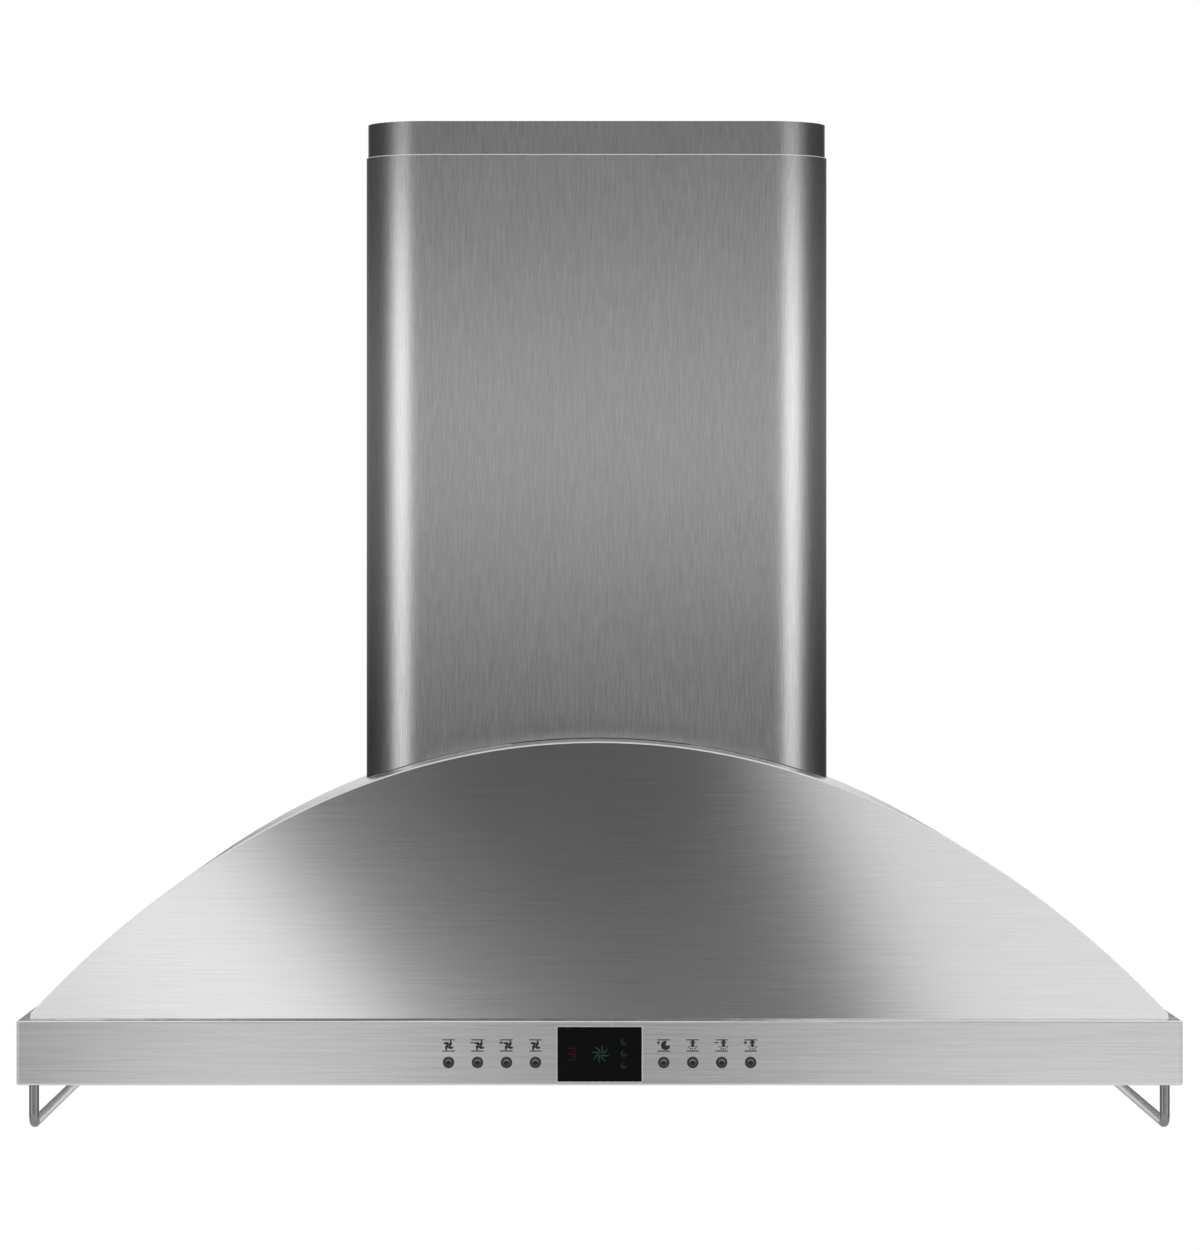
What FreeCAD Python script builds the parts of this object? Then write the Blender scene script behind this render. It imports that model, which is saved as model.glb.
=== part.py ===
import FreeCAD, Part
import math
import os

# Curved steel chimney hood for a kitchen wall, in millimetres.
# X = 0 is the centre line, Y = 0 the wall, Z = 0 the lower edge of the rim; the front faces -Y.

V = FreeCAD.Vector

# ---------------------------------------------------------------- driving dimensions
# rim: the shallow frame round the foot of the canopy
hood_width = 900.0
hood_depth = 600.0
rim_height = 50.0
rim_sheet = 1.5
rim_corner_bend = 2.0        # outer radius of the two front corners
rim_edge_bend = 1.6          # outer radius along the top and bottom edges
rim_bottom_flange = 22.0     # width of the inward flange at the bottom
rim_top_tuck = 14.0          # how far the top flange runs in under the canopy
nest_gap = 0.2               # gap between sheets that nest in one another

# canopy: a three-centred arch cut by a flat leaning front
ledge_side = 8.4             # rim showing beside the foot of the arch
ledge_front = 24.2           # rim showing before the foot of the front panel
arch_foot = 3.8              # upright foot of the arch, above the rim
arch_rise = 205.4            # from the foot to the crown
crown_radius = 556.8
crown_half_angle = 25.1      # degrees of the crown arc, each side
panel_lean = 1.15            # run back per unit of rise
canopy_sheet = 1.2
back_sheet = 1.5
back_flange = 21.5
air_hole_width = 340.0       # opening in the crown, under the duct cover
air_hole_margin = 3.0        # sheet left between that opening and the duct cover

# duct covers
cover_width = 390.0
cover_depth = 225.0
cover_corner = 52.0
cover_sheet = 1.0
cover_return = 16.0          # rear edges turned in along the wall
cover_top = 749.3
cover_foot_gap = 0.6         # between the scribed foot and the arch
cover_gap = 0.4              # running gap between the two covers
upper_top = 777.2
upper_length = 420.0
strap_height = 40.0
strap_drop = 30.0            # top of the strap below the top of the lower cover
strap_hole_radius = 2.6
strap_hole_spacing = 160.0

# underside and filters
panel_sheet = 1.0
lip_height = 9.0             # upstand beside each filter opening
filter_count = 3
opening_side = 21.0          # from the rim's flange to the outer openings
opening_bar = 14.0           # panel left between two openings
opening_front = 150.0        # from the face of the rim to the openings
opening_rear = 80.0          # from the wall to the openings
filter_side_gap = 1.5
filter_front_gap = 1.5
filter_rear_gap = 3.0
filter_height = 10.0
filter_sheet = 1.0
filter_border = 10.0
filter_front_border = 34.0   # wider border that carries the handle
filter_tab_width = 22.0
filter_tab_reach = 10.0
filter_tab_lift = 0.3        # tab above the underside panel
baffle_width = 22.0
baffle_pitch = 32.0
baffle_height = 3.4
baffle_sheet = 0.8
baffle_end_lap = 8.0         # length held under the frame's flanges

# filter handle: a wire bail folded flat under the front border, and the magnets that hold
handle_width = 64.0          # between the centres of the legs
handle_length = 20.0         # from the pivot to the centre of the grip
handle_wire = 3.0
handle_bend = 5.0
handle_gap = 0.4             # wire to filter, and wire to ears
handle_pivot_gap = 0.08
handle_set_back = 7.0        # pivot behind the front of the filter
ear_width = 6.0
ear_wall = 1.5
magnet_size = (20.0, 12.0, 3.0)
magnet_offset = 70.0         # from the middle of the filter
magnet_gap = 0.3             # under the keeper
keeper_width = 26.0
keeper_set_back = 1.0        # keeper's upright before the front edge of the opening

# controls on the front of the rim
button_pitch = 22.35
button_first = 49.5          # from the centre line to the nearest button
buttons_each_side = 4
button_height = 17.8         # above the lower edge of the rim
button_radius = 3.3
button_bore_gap = 0.08
button_proud = 1.5
button_dome = 0.7
button_stop_radius = 3.9
button_stop_length = 1.0
button_length = 9.0          # face to the end of the stem
button_travel = 1.2
button_stem_radius = 1.5
ring_radius = 4.45
ring_proud = 0.6
ring_sleeve_radius = 3.95
ring_sleeve_length = 3.0
window_width = 65.0
window_foot = 3.05           # glass above the lower edge of the rim
window_head = 4.85           # rim left above the glass
window_proud = 0.3
window_edge = 0.25           # rounding of the glass
frame_lip = 0.8              # display frame showing round the glass
frame_proud = 0.5

# control box behind the buttons
box_width = 300.0
box_depth = 34.0
box_sheet = 0.8
box_floor_gap = 1.0          # above the underside panel
board_sheet = 1.6
board_margin = 5.0
switch_body = 6.0
switch_height = 3.5
switch_stem_radius = 1.7
switch_gap = 0.1             # left between stem and switch when a button is pressed home
display_depth = 10.0
box_lid_reach = 4.8          # lid's inner flange

# lamps
lamp_offset = 250.0          # from the centre line
lamp_front = 85.0            # from the face of the rim
lamp_hole_radius = 29.5
lamp_flange_radius = 33.0
lamp_flange_sheet = 1.2
lamp_lens_radius = 26.0
lamp_lens_sheet = 2.5
lamp_lens_crown = 0.8
lamp_lens_seat = 1.5         # lip of the bezel under the edge of the lens
lamp_collar = 4.0            # bezel above the underside panel
lamp_wall = 1.0
lamp_housing_radius = 28.5
lamp_housing_height = 34.0
bulb_radius = 5.0
bulb_length = 18.0
bulb_base = 7.0
lamp_neck = 5.0              # socket above the reflector
lamp_shoulder = 6.0          # flat of the reflector round its neck
bulb_seat = 4.0              # cap of the bulb below the neck
bezel_roll = 1.0             # rounding of the trim ring

# utensil rails
rail_diameter = 7.8
rail_inset = 12.0            # from the side of the rim
rail_front = 18.0            # front leg, from the face of the rim
rail_rear = 40.0             # rear leg, from the wall
rail_drop = 34.5             # lowest point below the rim
rail_bend = 8.0              # centre line radius
rail_hole_gap = 0.2
rail_thread = 10.0           # leg above the underside panel
nut_flats = 13.0
nut_height = 6.0

# blower: the scroll fills the duct cover, and the wheel, the inlet rings and the motor follow
blower_sheet = 1.0
blower_front_gap = 6.0       # between the scroll and the duct cover's face
blower_rear_gap = 18.0       # between the scroll and the wall
blower_axis_height = 300.0
scroll_step = 10.0           # growth of the spiral in a quarter turn
scroll_gap = 14.0            # wheel to scroll where the spiral starts
scroll_side_gap = 6.0        # between the wheel and the side plates
wheel_width = 130.0
wheel_blade_depth = 16.0
wheel_blades = 32
blade_sheet = 0.8
blade_angle = 35.0
blade_end_gap = 0.5          # blades inside the two end rings
wheel_disc_sheet = 2.0
wheel_rim_width = 3.0
hub_radius = 12.0
hub_length = 16.0
outlet_neck = 24.0           # straight throat above the scroll
outlet_tongue = 30.0         # tongue before the centre of the scroll
inlet_lap = 8.0              # throat of an inlet ring inside the blades
inlet_flange = 16.0          # flat of an inlet ring round its throat
inlet_curl = 8.0
motor_gap = 6.0              # motor to the throat of the inlet ring
motor_length = 72.0
motor_start = 12.0
motor_bend = 6.0
shaft_radius = 4.0
shaft_gap = 0.05
shaft_front = 10.0
shaft_in_motor = 30.0
shaft_end_gap = 2.0
bracket_sheet = 1.5
bracket_ring_width = 6.0
bracket_set_back = 8.0       # ring before the rear of the motor
arm_width = 12.0
arm_count = 3
arm_gap = 3.0                # feet of the arms outside the inlet ring
arm_foot = 11.0
hanger_width = 100.0
hanger_height = 28.0
hanger_length = 86.0
hanger_gap = 4.0             # top of the arms below the inlet rings
outlet_box_height = 60.0
outlet_box_margin = 1.0      # box beside the flange of the collar
collar_radius = 75.0
collar_length = 50.0
collar_flange = 4.0

# back-draught damper in the collar
damper_height = 32.0         # rod above the foot of the collar
damper_rod_radius = 2.0
damper_rod_gap = 0.06
knuckle_radius = 3.2
flap_gap = 1.5               # flap to collar
flap_sheet = 0.8
flap_start = 3.7             # flap edge from the rod's centre
knuckle_length = 22.0
knuckle_gap = 0.5

# electrical parts
transformer_offset = -300.0
transformer_height = 78.0
transformer_core = (64.0, 30.0, 54.0)
transformer_coil = (44.0, 42.0, 32.0)
transformer_foot = 10.0      # ears beside the core
transformer_foot_height = 12.0
coil_corner = 5.0
junction_offset = 300.0
junction_size = (104.0, 44.0, 60.0)
junction_bottom = 62.0
junction_sheet = 1.0
junction_lid_reach = 6.0     # lid's inner flange
cable_hole_radius = 11.1
capacitor_radius = 14.0
capacitor_length = 46.0
capacitor_edge = 2.0
capacitor_drop = 12.0        # top of the can below the outlet box
capacitor_pad = 10.0
tag_size = (3.2, 0.8, 7.0)
tag_offset = 5.0

# fixings
wall_hole_radius = 4.0
wall_hole_spacing_x = 406.4
wall_hole_spacing_z = 120.0
wall_hole_centre = 130.0
screw_radius = 2.0
screw_hole_gap = 0.15
screw_head_radius = 3.8
screw_head_height = 2.3
screw_slot = 0.8
screw_inset = 9.0            # from the outside of the rim to the screws
screws_along_side = (0.25, 0.55, 0.85)   # shares of the depth
screws_along_front = (0.45, 0.8)         # shares of half the width
screws_along_rear = 0.6

# ---------------------------------------------------------------- places worked out from them
half_width = hood_width / 2
front = -hood_depth
arch_half = half_width - ledge_side
foot_top = rim_height + arch_foot
crown_top = foot_top + arch_rise
panel_bottom = rim_sheet
panel_top = panel_bottom + panel_sheet
floor_half = half_width - rim_bottom_flange
opening_width = 2 * (floor_half - opening_side) - (filter_count - 1) * opening_bar
opening_width = opening_width / filter_count
opening_length = hood_depth - opening_front - opening_rear
rail_offset = half_width - rail_inset
window_height = rim_height - window_foot - window_head
window_centre = window_foot + window_height / 2
scroll_front = -cover_depth + cover_sheet + blower_front_gap
scroll_rear = -blower_rear_gap
scroll_depth = scroll_rear - scroll_front
scroll_first_radius = (scroll_depth - 3 * scroll_step) / 2 - blower_sheet
wheel_radius = scroll_first_radius - scroll_gap
wheel_bore = wheel_radius - wheel_blade_depth
wheel_y = scroll_front + blower_sheet + scroll_first_radius + 2.5 * scroll_step
inlet_radius = wheel_bore - inlet_lap
inlet_flange_radius = inlet_radius + inlet_flange
motor_radius = inlet_radius - motor_gap
scroll_half = wheel_width / 2 + scroll_side_gap
scroll_top = blower_axis_height - scroll_step / 2 + scroll_first_radius
outlet_bottom = scroll_top + outlet_neck
outlet_box_half_width = collar_radius + collar_flange + outlet_box_margin
collar_y = (scroll_front + scroll_rear) / 2
collar_foot = outlet_bottom + outlet_box_height
damper_z = collar_foot + damper_height
side_names = {-1: "left", 0: "middle", 1: "right"}


# ---------------------------------------------------------------- helpers
def box(x0, x1, y0, y1, z0, z1):
    return Part.makeBox(x1 - x0, y1 - y0, z1 - z0, V(x0, y0, z0))


def rod(start, axis, length, radius):
    return Part.makeCylinder(radius, length, V(*start), V(*axis))


def fused(shapes):
    return shapes[0].multiFuse(shapes[1:]).removeSplitter()


def outline(start, steps, place):
    """Closed wire: a step is a point for a line, or (through, end) for an arc."""
    edges = []
    here = start
    for step in steps + [start]:
        is_arc = isinstance(step[0], tuple)
        end = step[1] if is_arc else step
        if math.dist(here, end) < 1e-6:
            continue
        if is_arc:
            edges.append(Part.Arc(place(here), place(step[0]), place(end)).toShape())
        else:
            edges.append(Part.makeLine(place(here), place(end)))
        here = end
    return Part.Wire(edges)


def prism_y(start, steps, y0, y1):
    """Outline in X and Z, drawn out along Y."""
    face = Part.Face(outline(start, steps, lambda p: V(p[0], y0, p[1])))
    return face.extrude(V(0, y1 - y0, 0))


def prism_x(start, steps, x0, x1):
    """Outline in Y and Z, drawn out along X."""
    face = Part.Face(outline(start, steps, lambda p: V(x0, p[0], p[1])))
    return face.extrude(V(x1 - x0, 0, 0))


def turned(start, steps, base, axis):
    """Outline in radius and height, turned about an axis."""
    face = Part.Face(outline(start, steps, lambda p: V(p[0], 0, p[1])))
    solid = face.revolve(V(0, 0, 0), V(0, 0, 1), 360)
    solid.Placement = FreeCAD.Placement(V(*base), FreeCAD.Rotation(V(0, 0, 1), V(*axis)))
    return solid


def save(node, *solids):
    shape = solids[0] if len(solids) == 1 else Part.makeCompound(list(solids))
    if not shape.isValid() or not shape.Solids:
        raise ValueError(node + " is not a valid solid")
    shape.exportStep("parts/" + node + ".step")


# ---------------------------------------------------------------- shared forms
def shoulder(inset):
    """Joint of crown and shoulder arcs, and the shoulder's centre and radius."""
    angle = math.radians(crown_half_angle)
    crown_z = crown_top - crown_radius
    joint = (crown_radius * math.sin(angle), crown_z + crown_radius * math.cos(angle))
    normal = (math.sin(angle), math.cos(angle))
    span = (arch_half - joint[0], foot_top - joint[1])
    reach = span[0] * normal[0] + span[1] * normal[1]
    radius = -(span[0] ** 2 + span[1] ** 2) / (2 * reach)
    centre = (joint[0] - radius * normal[0], joint[1] - radius * normal[1])
    inner_joint = (joint[0] - inset * normal[0], joint[1] - inset * normal[1])
    return inner_joint, centre, radius - inset


def arch_block(inset, y0, y1, bottom):
    """Everything under the arch, drawn in by inset, from one Y to another."""
    joint, centre, radius = shoulder(inset)
    half = arch_half - inset
    spring = centre[1] + math.sqrt(radius ** 2 - (half - centre[0]) ** 2)
    start_angle = math.atan2(spring - centre[1], half - centre[0])
    end_angle = math.atan2(joint[1] - centre[1], joint[0] - centre[0])
    middle = (start_angle + end_angle) / 2
    via = (centre[0] + radius * math.cos(middle), centre[1] + radius * math.sin(middle))
    steps = [
        (half, spring),
        (via, joint),
        ((0.0, crown_top - inset), (-joint[0], joint[1])),
        ((-via[0], via[1]), (-half, spring)),
        (-half, bottom),
    ]
    return prism_y((half, bottom), steps, y0, y1)


def panel_y(z, inset=0.0):
    """Y of the leaning front at a height, moved square into the canopy by inset."""
    run = ledge_front + panel_lean * (z - rim_height)
    return front + run + inset * math.sqrt(1 + panel_lean ** 2)


def behind_panel(inset, bottom):
    """Everything behind the plane of the leaning front."""
    top = crown_top + rim_height
    steps = [(panel_y(top, inset), top), (0.0, top), (0.0, bottom)]
    return prism_x((panel_y(bottom, inset), bottom), steps, -half_width, half_width)


def filter_centre(place):
    return place * (opening_width + opening_bar)


def opening_box(place, z0, z1, gap=0.0):
    x = filter_centre(place)
    y0 = front + opening_front
    side = opening_width / 2 - gap
    return box(x - side, x + side, y0 + gap, y0 + opening_length - gap, z0, z1)


def filter_places():
    return [k - (filter_count - 1) // 2 for k in range(filter_count)]


def button_places():
    return [side * (button_first + k * button_pitch)
            for side in (-1, 1) for k in range(buttons_each_side)]


def rail_legs():
    return [(side * rail_offset, y)
            for side in (-1, 1) for y in (front + rail_front, -rail_rear)]


def floor_screws():
    """Places of the screws that hold the underside panel down on the flanges."""
    x = half_width - screw_inset
    y = front + screw_inset
    side = [(s * x, front * share) for s in (-1, 1) for share in screws_along_side]
    ends = [(s * half_width * share, y) for s in (-1, 1) for share in screws_along_front]
    rear = [(s * half_width * screws_along_rear, -screw_inset) for s in (-1, 1)]
    return side + ends + rear


def drilled(shape, places, radius, z0, z1):
    for x, y in places:
        shape = shape.cut(rod((x, y, z0), (0, 0, 1), z1 - z0, radius))
    return shape


# ---------------------------------------------------------------- shell of the hood
def rim():
    body = box(-half_width, half_width, front, 0, 0, rim_height)
    upright = [e for e in body.Edges
               if e.BoundBox.ZLength > 1 and e.BoundBox.YMax < front + 1]
    body = body.makeFillet(rim_corner_bend, upright)
    level = [e for e in body.Edges
             if e.BoundBox.ZLength < 0.01 and e.BoundBox.YMin < -1]
    body = body.makeFillet(rim_edge_bend, level)
    inside = half_width - rim_sheet
    body = body.cut(box(-inside, inside, front + rim_sheet, 1, rim_sheet, rim_height - rim_sheet))
    body = body.cut(box(-floor_half, floor_half, front + rim_bottom_flange, 1, -1, rim_sheet + 1))
    top_half = arch_half - canopy_sheet - rim_top_tuck
    top_front = front + ledge_front + canopy_sheet + rim_top_tuck
    body = body.cut(box(-top_half, top_half, top_front, 1, rim_height - rim_sheet - 1, rim_height + 1))
    for x in button_places():
        body = body.cut(rod((x, front - 1, button_height), (0, 1, 0), rim_sheet + 2,
                            ring_sleeve_radius + screw_hole_gap))
    sleeve_half = window_width / 2 + box_sheet
    sleeve_rise = window_height / 2 + box_sheet
    body = body.cut(box(-sleeve_half, sleeve_half, front - 1, front + rim_sheet + 1,
                        window_centre - sleeve_rise, window_centre + sleeve_rise))
    body = drilled(body, rail_legs(), rail_diameter / 2 + rail_hole_gap, -1, rim_sheet + 1)
    return drilled(body, floor_screws(), screw_radius + screw_hole_gap, -1, rim_sheet + 1)


def canopy_arch():
    sheet = arch_block(0.0, front, 0, rim_height)
    sheet = sheet.cut(arch_block(canopy_sheet, front - 1, 1, rim_height - 1))
    sheet = sheet.common(behind_panel(0.0, rim_height))
    hole_front = -cover_depth + cover_sheet + air_hole_margin
    hole = box(-air_hole_width / 2, air_hole_width / 2, hole_front, -back_flange / 2,
               rim_height, crown_top + 1)
    return sheet.cut(hole)


def canopy_front():
    slab = behind_panel(0.0, rim_height).cut(behind_panel(canopy_sheet, rim_height))
    return slab.common(arch_block(canopy_sheet, front, 0, rim_height))


def back_panel():
    y0 = -back_sheet
    inside = half_width - rim_sheet - nest_gap
    top_half = arch_half - canopy_sheet - rim_top_tuck - nest_gap
    bottom_half = floor_half - nest_gap
    foot = box(-bottom_half, bottom_half, y0, 0, 0, rim_height / 2)
    wide = box(-inside, inside, y0, 0, rim_sheet + nest_gap, rim_height - rim_sheet - nest_gap)
    neck = box(-top_half, top_half, y0, 0, rim_height / 2, foot_top)
    arch = arch_block(canopy_sheet + nest_gap, y0, 0, rim_height + nest_gap)
    flange = box(-bottom_half, bottom_half, -back_flange, 0, 0, rim_sheet)
    panel = fused([foot, wide, neck, arch, flange])
    for sx in (-1, 1):
        for sz in (-1, 1):
            x = sx * wall_hole_spacing_x / 2
            z = wall_hole_centre + sz * wall_hole_spacing_z / 2
            panel = panel.cut(rod((x, -back_sheet - 1, z), (0, 1, 0), back_sheet + 2, wall_hole_radius))
    cable_z = junction_bottom + junction_size[2] / 2
    panel = panel.cut(rod((junction_offset, -back_sheet - 1, cable_z), (0, 1, 0),
                          back_sheet + 2, cable_hole_radius))
    return drilled(panel, floor_screws(), screw_radius + screw_hole_gap, -1, rim_sheet + 1)


def keepers():
    """Angles on the panel that reach back over the magnets of the filters."""
    z1 = panel_bottom + filter_height + magnet_size[2] + magnet_gap
    edge = front + opening_front - keeper_set_back
    end = edge + keeper_set_back + filter_front_gap + magnet_size[1]
    angles = []
    for place in filter_places():
        for side in (-1, 1):
            x = filter_centre(place) + side * magnet_offset
            x0 = x - keeper_width / 2
            x1 = x + keeper_width / 2
            upright = box(x0, x1, edge - panel_sheet, edge, panel_bottom, z1)
            shelf = box(x0, x1, edge - panel_sheet, end, z1, z1 + panel_sheet)
            angles.append(fused([upright, shelf]))
    return angles


def underside_panel():
    inside = half_width - rim_sheet - nest_gap
    y0 = front + rim_sheet + nest_gap
    y1 = -back_sheet
    plate = box(-inside, inside, y0, y1, panel_bottom, panel_top)
    lips = []
    for place in filter_places():
        x = filter_centre(place)
        lip_y0 = front + opening_front
        for side in (-1, 1):
            edge = x + side * opening_width / 2
            outer = edge + side * panel_sheet
            lips.append(box(min(edge, outer), max(edge, outer), lip_y0, lip_y0 + opening_length,
                            panel_bottom, panel_top + lip_height))
    plate = fused([plate] + lips)
    for place in filter_places():
        plate = plate.cut(opening_box(place, panel_bottom - 1, panel_top + lip_height + 1))
    plate = fused([plate] + keepers())
    lamps = [(side * lamp_offset, front + lamp_front) for side in (-1, 1)]
    plate = drilled(plate, lamps, lamp_hole_radius, panel_bottom - 1, panel_top + 1)
    plate = drilled(plate, rail_legs(), rail_diameter / 2 + rail_hole_gap, 0, panel_top + 1)
    return drilled(plate, floor_screws(), screw_radius + screw_hole_gap, 0, panel_top + 1)


def screw(x, y, z, length):
    """Pan head screw, head up."""
    shank = rod((x, y, z - length), (0, 0, 1), length, screw_radius)
    head_edge = screw_head_radius - screw_head_height / 2
    steps = [(screw_head_radius, 0.0), (screw_head_radius, screw_head_height / 2),
             ((screw_head_radius * 0.95, screw_head_height * 0.85), (head_edge, screw_head_height)),
             (0.0, screw_head_height)]
    head = turned((0.0, 0.0), steps, (x, y, z), (0, 0, 1))
    slot = box(x - screw_slot / 2, x + screw_slot / 2, y - screw_head_radius, y + screw_head_radius,
               z + screw_head_height * 0.6, z + screw_head_height + 1)
    return fused([shank, head]).cut(slot)


def screws():
    return [screw(x, y, panel_top, panel_top) for x, y in floor_screws()]


# ---------------------------------------------------------------- duct covers
def cover_block(inset, z0, z1):
    half = cover_width / 2 - inset
    y0 = -cover_depth + inset
    block = box(-half, half, y0, -inset, z0, z1)
    upright = [e for e in block.Edges
               if e.BoundBox.ZLength > 1 and e.BoundBox.YMax < y0 + 1]
    return block.makeFillet(cover_corner - inset, upright)


def cover_shell(inset, z0, z1):
    """Sheet bent to a U with two round corners, its rear edges turned in."""
    shell = cover_block(inset, z0, z1)
    shell = shell.cut(cover_block(inset + cover_sheet, z0 - 1, z1 + 1))
    open_half = cover_width / 2 - inset - cover_return
    rear = -inset - cover_sheet
    return shell.cut(box(-open_half, open_half, rear - 1, 1, z0 - 1, z1 + 1))


def lower_duct_cover():
    shell = cover_shell(0.0, foot_top, cover_top)
    return shell.cut(arch_block(-cover_foot_gap, front, 1, 0))


def upper_duct_cover():
    return cover_shell(cover_sheet + cover_gap, upper_top - upper_length, upper_top)


def cover_strap():
    half = cover_width / 2 - cover_return
    top = cover_top - strap_drop
    strap = box(-half, half, -cover_sheet, 0, top - strap_height, top)
    for side in (-1, 1):
        x = side * strap_hole_spacing / 2
        strap = strap.cut(rod((x, -cover_sheet - 1, top - strap_height / 2), (0, 1, 0),
                              cover_sheet + 2, strap_hole_radius))
    return strap


# ---------------------------------------------------------------- utensil rails
def rail(side):
    x = side * rail_offset
    y0 = front + rail_front
    y1 = -rail_rear
    low = rail_diameter / 2 - rail_drop
    top = panel_top + rail_thread
    knee = rail_bend * (1 - math.sqrt(0.5))
    steps = [
        Part.makeLine(V(x, y0, top), V(x, y0, low + rail_bend)),
        Part.Arc(V(x, y0, low + rail_bend), V(x, y0 + knee, low + knee),
                 V(x, y0 + rail_bend, low)).toShape(),
        Part.makeLine(V(x, y0 + rail_bend, low), V(x, y1 - rail_bend, low)),
        Part.Arc(V(x, y1 - rail_bend, low), V(x, y1 - knee, low + knee),
                 V(x, y1, low + rail_bend)).toShape(),
        Part.makeLine(V(x, y1, low + rail_bend), V(x, y1, top)),
    ]
    section = Part.Wire(Part.makeCircle(rail_diameter / 2, V(x, y0, top), V(0, 0, -1)))
    return Part.Wire(steps).makePipeShell([section], True, False)


def rail_nuts():
    nuts = []
    corner = nut_flats / math.sqrt(3)
    for x, y in rail_legs():
        points = [V(x + corner * math.cos(math.radians(60 * k)),
                    y + corner * math.sin(math.radians(60 * k)), panel_top) for k in range(6)]
        hexagon = Part.Face(Part.makePolygon(points + points[:1]))
        nut = hexagon.extrude(V(0, 0, nut_height))
        nuts.append(nut.cut(rod((x, y, panel_top - 1), (0, 0, 1), nut_height + 2, rail_diameter / 2)))
    return nuts


# ---------------------------------------------------------------- controls
def button(x):
    """Domed cap with a stop flange and a stem; heights run from the face backwards."""
    y_face = front - button_proud
    sleeve_end = rim_sheet + ring_sleeve_length + button_proud
    steps = [
        ((button_radius * 0.7, button_dome * 0.3), (button_radius, button_dome)),
        (button_radius, sleeve_end),
        (button_stop_radius, sleeve_end),
        (button_stop_radius, sleeve_end + button_stop_length),
        (button_stem_radius, sleeve_end + button_stop_length),
        (button_stem_radius, button_length),
        (0.0, button_length),
    ]
    return turned((0.0, 0.0), steps, (x, y_face, button_height), (0, 1, 0))


def button_ring(x):
    bore = button_radius + button_bore_gap
    roll = (ring_radius - bore) / 2
    steps = [
        ((bore + roll, 0.0), (ring_radius, ring_proud)),
        (ring_sleeve_radius, ring_proud),
        (ring_sleeve_radius, ring_proud + rim_sheet + ring_sleeve_length),
        (bore, ring_proud + rim_sheet + ring_sleeve_length),
    ]
    return turned((bore, ring_proud), steps, (x, front - ring_proud, button_height), (0, 1, 0))


def framed_box(half, rise, y0, y1):
    return box(-half, half, y0, y1, window_centre - rise, window_centre + rise)


def display_frame():
    half = window_width / 2
    rise = window_height / 2
    lip = framed_box(half + frame_lip, rise + frame_lip, front - frame_proud, front)
    edges = [e for e in lip.Edges if e.BoundBox.YMax < front - frame_proud + 0.01]
    lip = lip.makeFillet(frame_proud * 0.6, edges)
    wall = box_sheet - nest_gap
    sleeve = framed_box(half + wall, rise + wall, front, front + rim_sheet)
    body = fused([lip, sleeve])
    return body.cut(framed_box(half, rise, front - frame_proud - 1, front + rim_sheet + 1))


def display_window():
    glass = framed_box(window_width / 2 - nest_gap / 4, window_height / 2 - nest_gap / 4,
                       front - window_proud, front + rim_sheet)
    edges = [e for e in glass.Edges if e.BoundBox.YMax < front - window_proud + 0.01]
    return glass.makeFillet(window_edge, edges)


def board_face():
    """Y of the front of the control board."""
    return front - button_proud + button_length + button_travel + switch_gap + switch_height


def control_board():
    y0 = board_face()
    half = box_width / 2 - box_sheet - board_margin
    z0 = panel_top + box_floor_gap + box_sheet + board_margin / 2
    z1 = rim_height - rim_sheet - box_floor_gap - box_sheet - board_margin / 2
    plate = box(-half, half, y0, y0 + board_sheet, z0, z1)
    parts = [plate]
    can = switch_height * 0.7
    for x in button_places():
        reach = switch_body / 2
        parts.append(box(x - reach, x + reach, y0 - can, y0,
                         button_height - reach, button_height + reach))
        parts.append(rod((x, y0 - switch_height, button_height), (0, 1, 0),
                         switch_height, switch_stem_radius))
    module_half = window_width / 2 - board_margin
    module_rise = window_height / 2 - board_margin
    parts.append(framed_box(module_half, module_rise, y0 - display_depth, y0))
    return fused(parts)


def box_limits():
    """Outside of the control box: half width, rear, bottom and top."""
    y1 = front + rim_sheet + box_depth
    z0 = panel_top + box_floor_gap
    z1 = rim_height - rim_sheet - box_floor_gap
    return box_width / 2, y1, z0, z1


def control_box():
    half, y1, z0, z1 = box_limits()
    y0 = front + rim_sheet
    body = box(-half, half, y0, y1, z0, z1)
    t = box_sheet
    body = body.cut(box(-half + t, half - t, y0 - 1, y1 + 1, z0 + t, z1 - t))
    shelf_y = board_face() + board_sheet
    shelves = []
    for side in (-1, 1):
        x0 = side * (half - t)
        x1 = side * (half - t - 2 * board_margin)
        shelves.append(box(min(x0, x1), max(x0, x1), shelf_y, shelf_y + t, z0 + t, z1 - t))
    return fused([body] + shelves)


def control_box_lid():
    half, y1, z0, z1 = box_limits()
    t = box_sheet
    lid = box(-half, half, y1, y1 + t, z0, z1)
    inner = box(-half + t + nest_gap, half - t - nest_gap, y1 - box_lid_reach, y1,
                z0 + t + nest_gap, z1 - t - nest_gap)
    hollow = box(-half + 2 * t + nest_gap, half - 2 * t - nest_gap, y1 - box_lid_reach - t, y1,
                 z0 + 2 * t + nest_gap, z1 - 2 * t - nest_gap)
    return fused([lid, inner.cut(hollow)])


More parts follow.
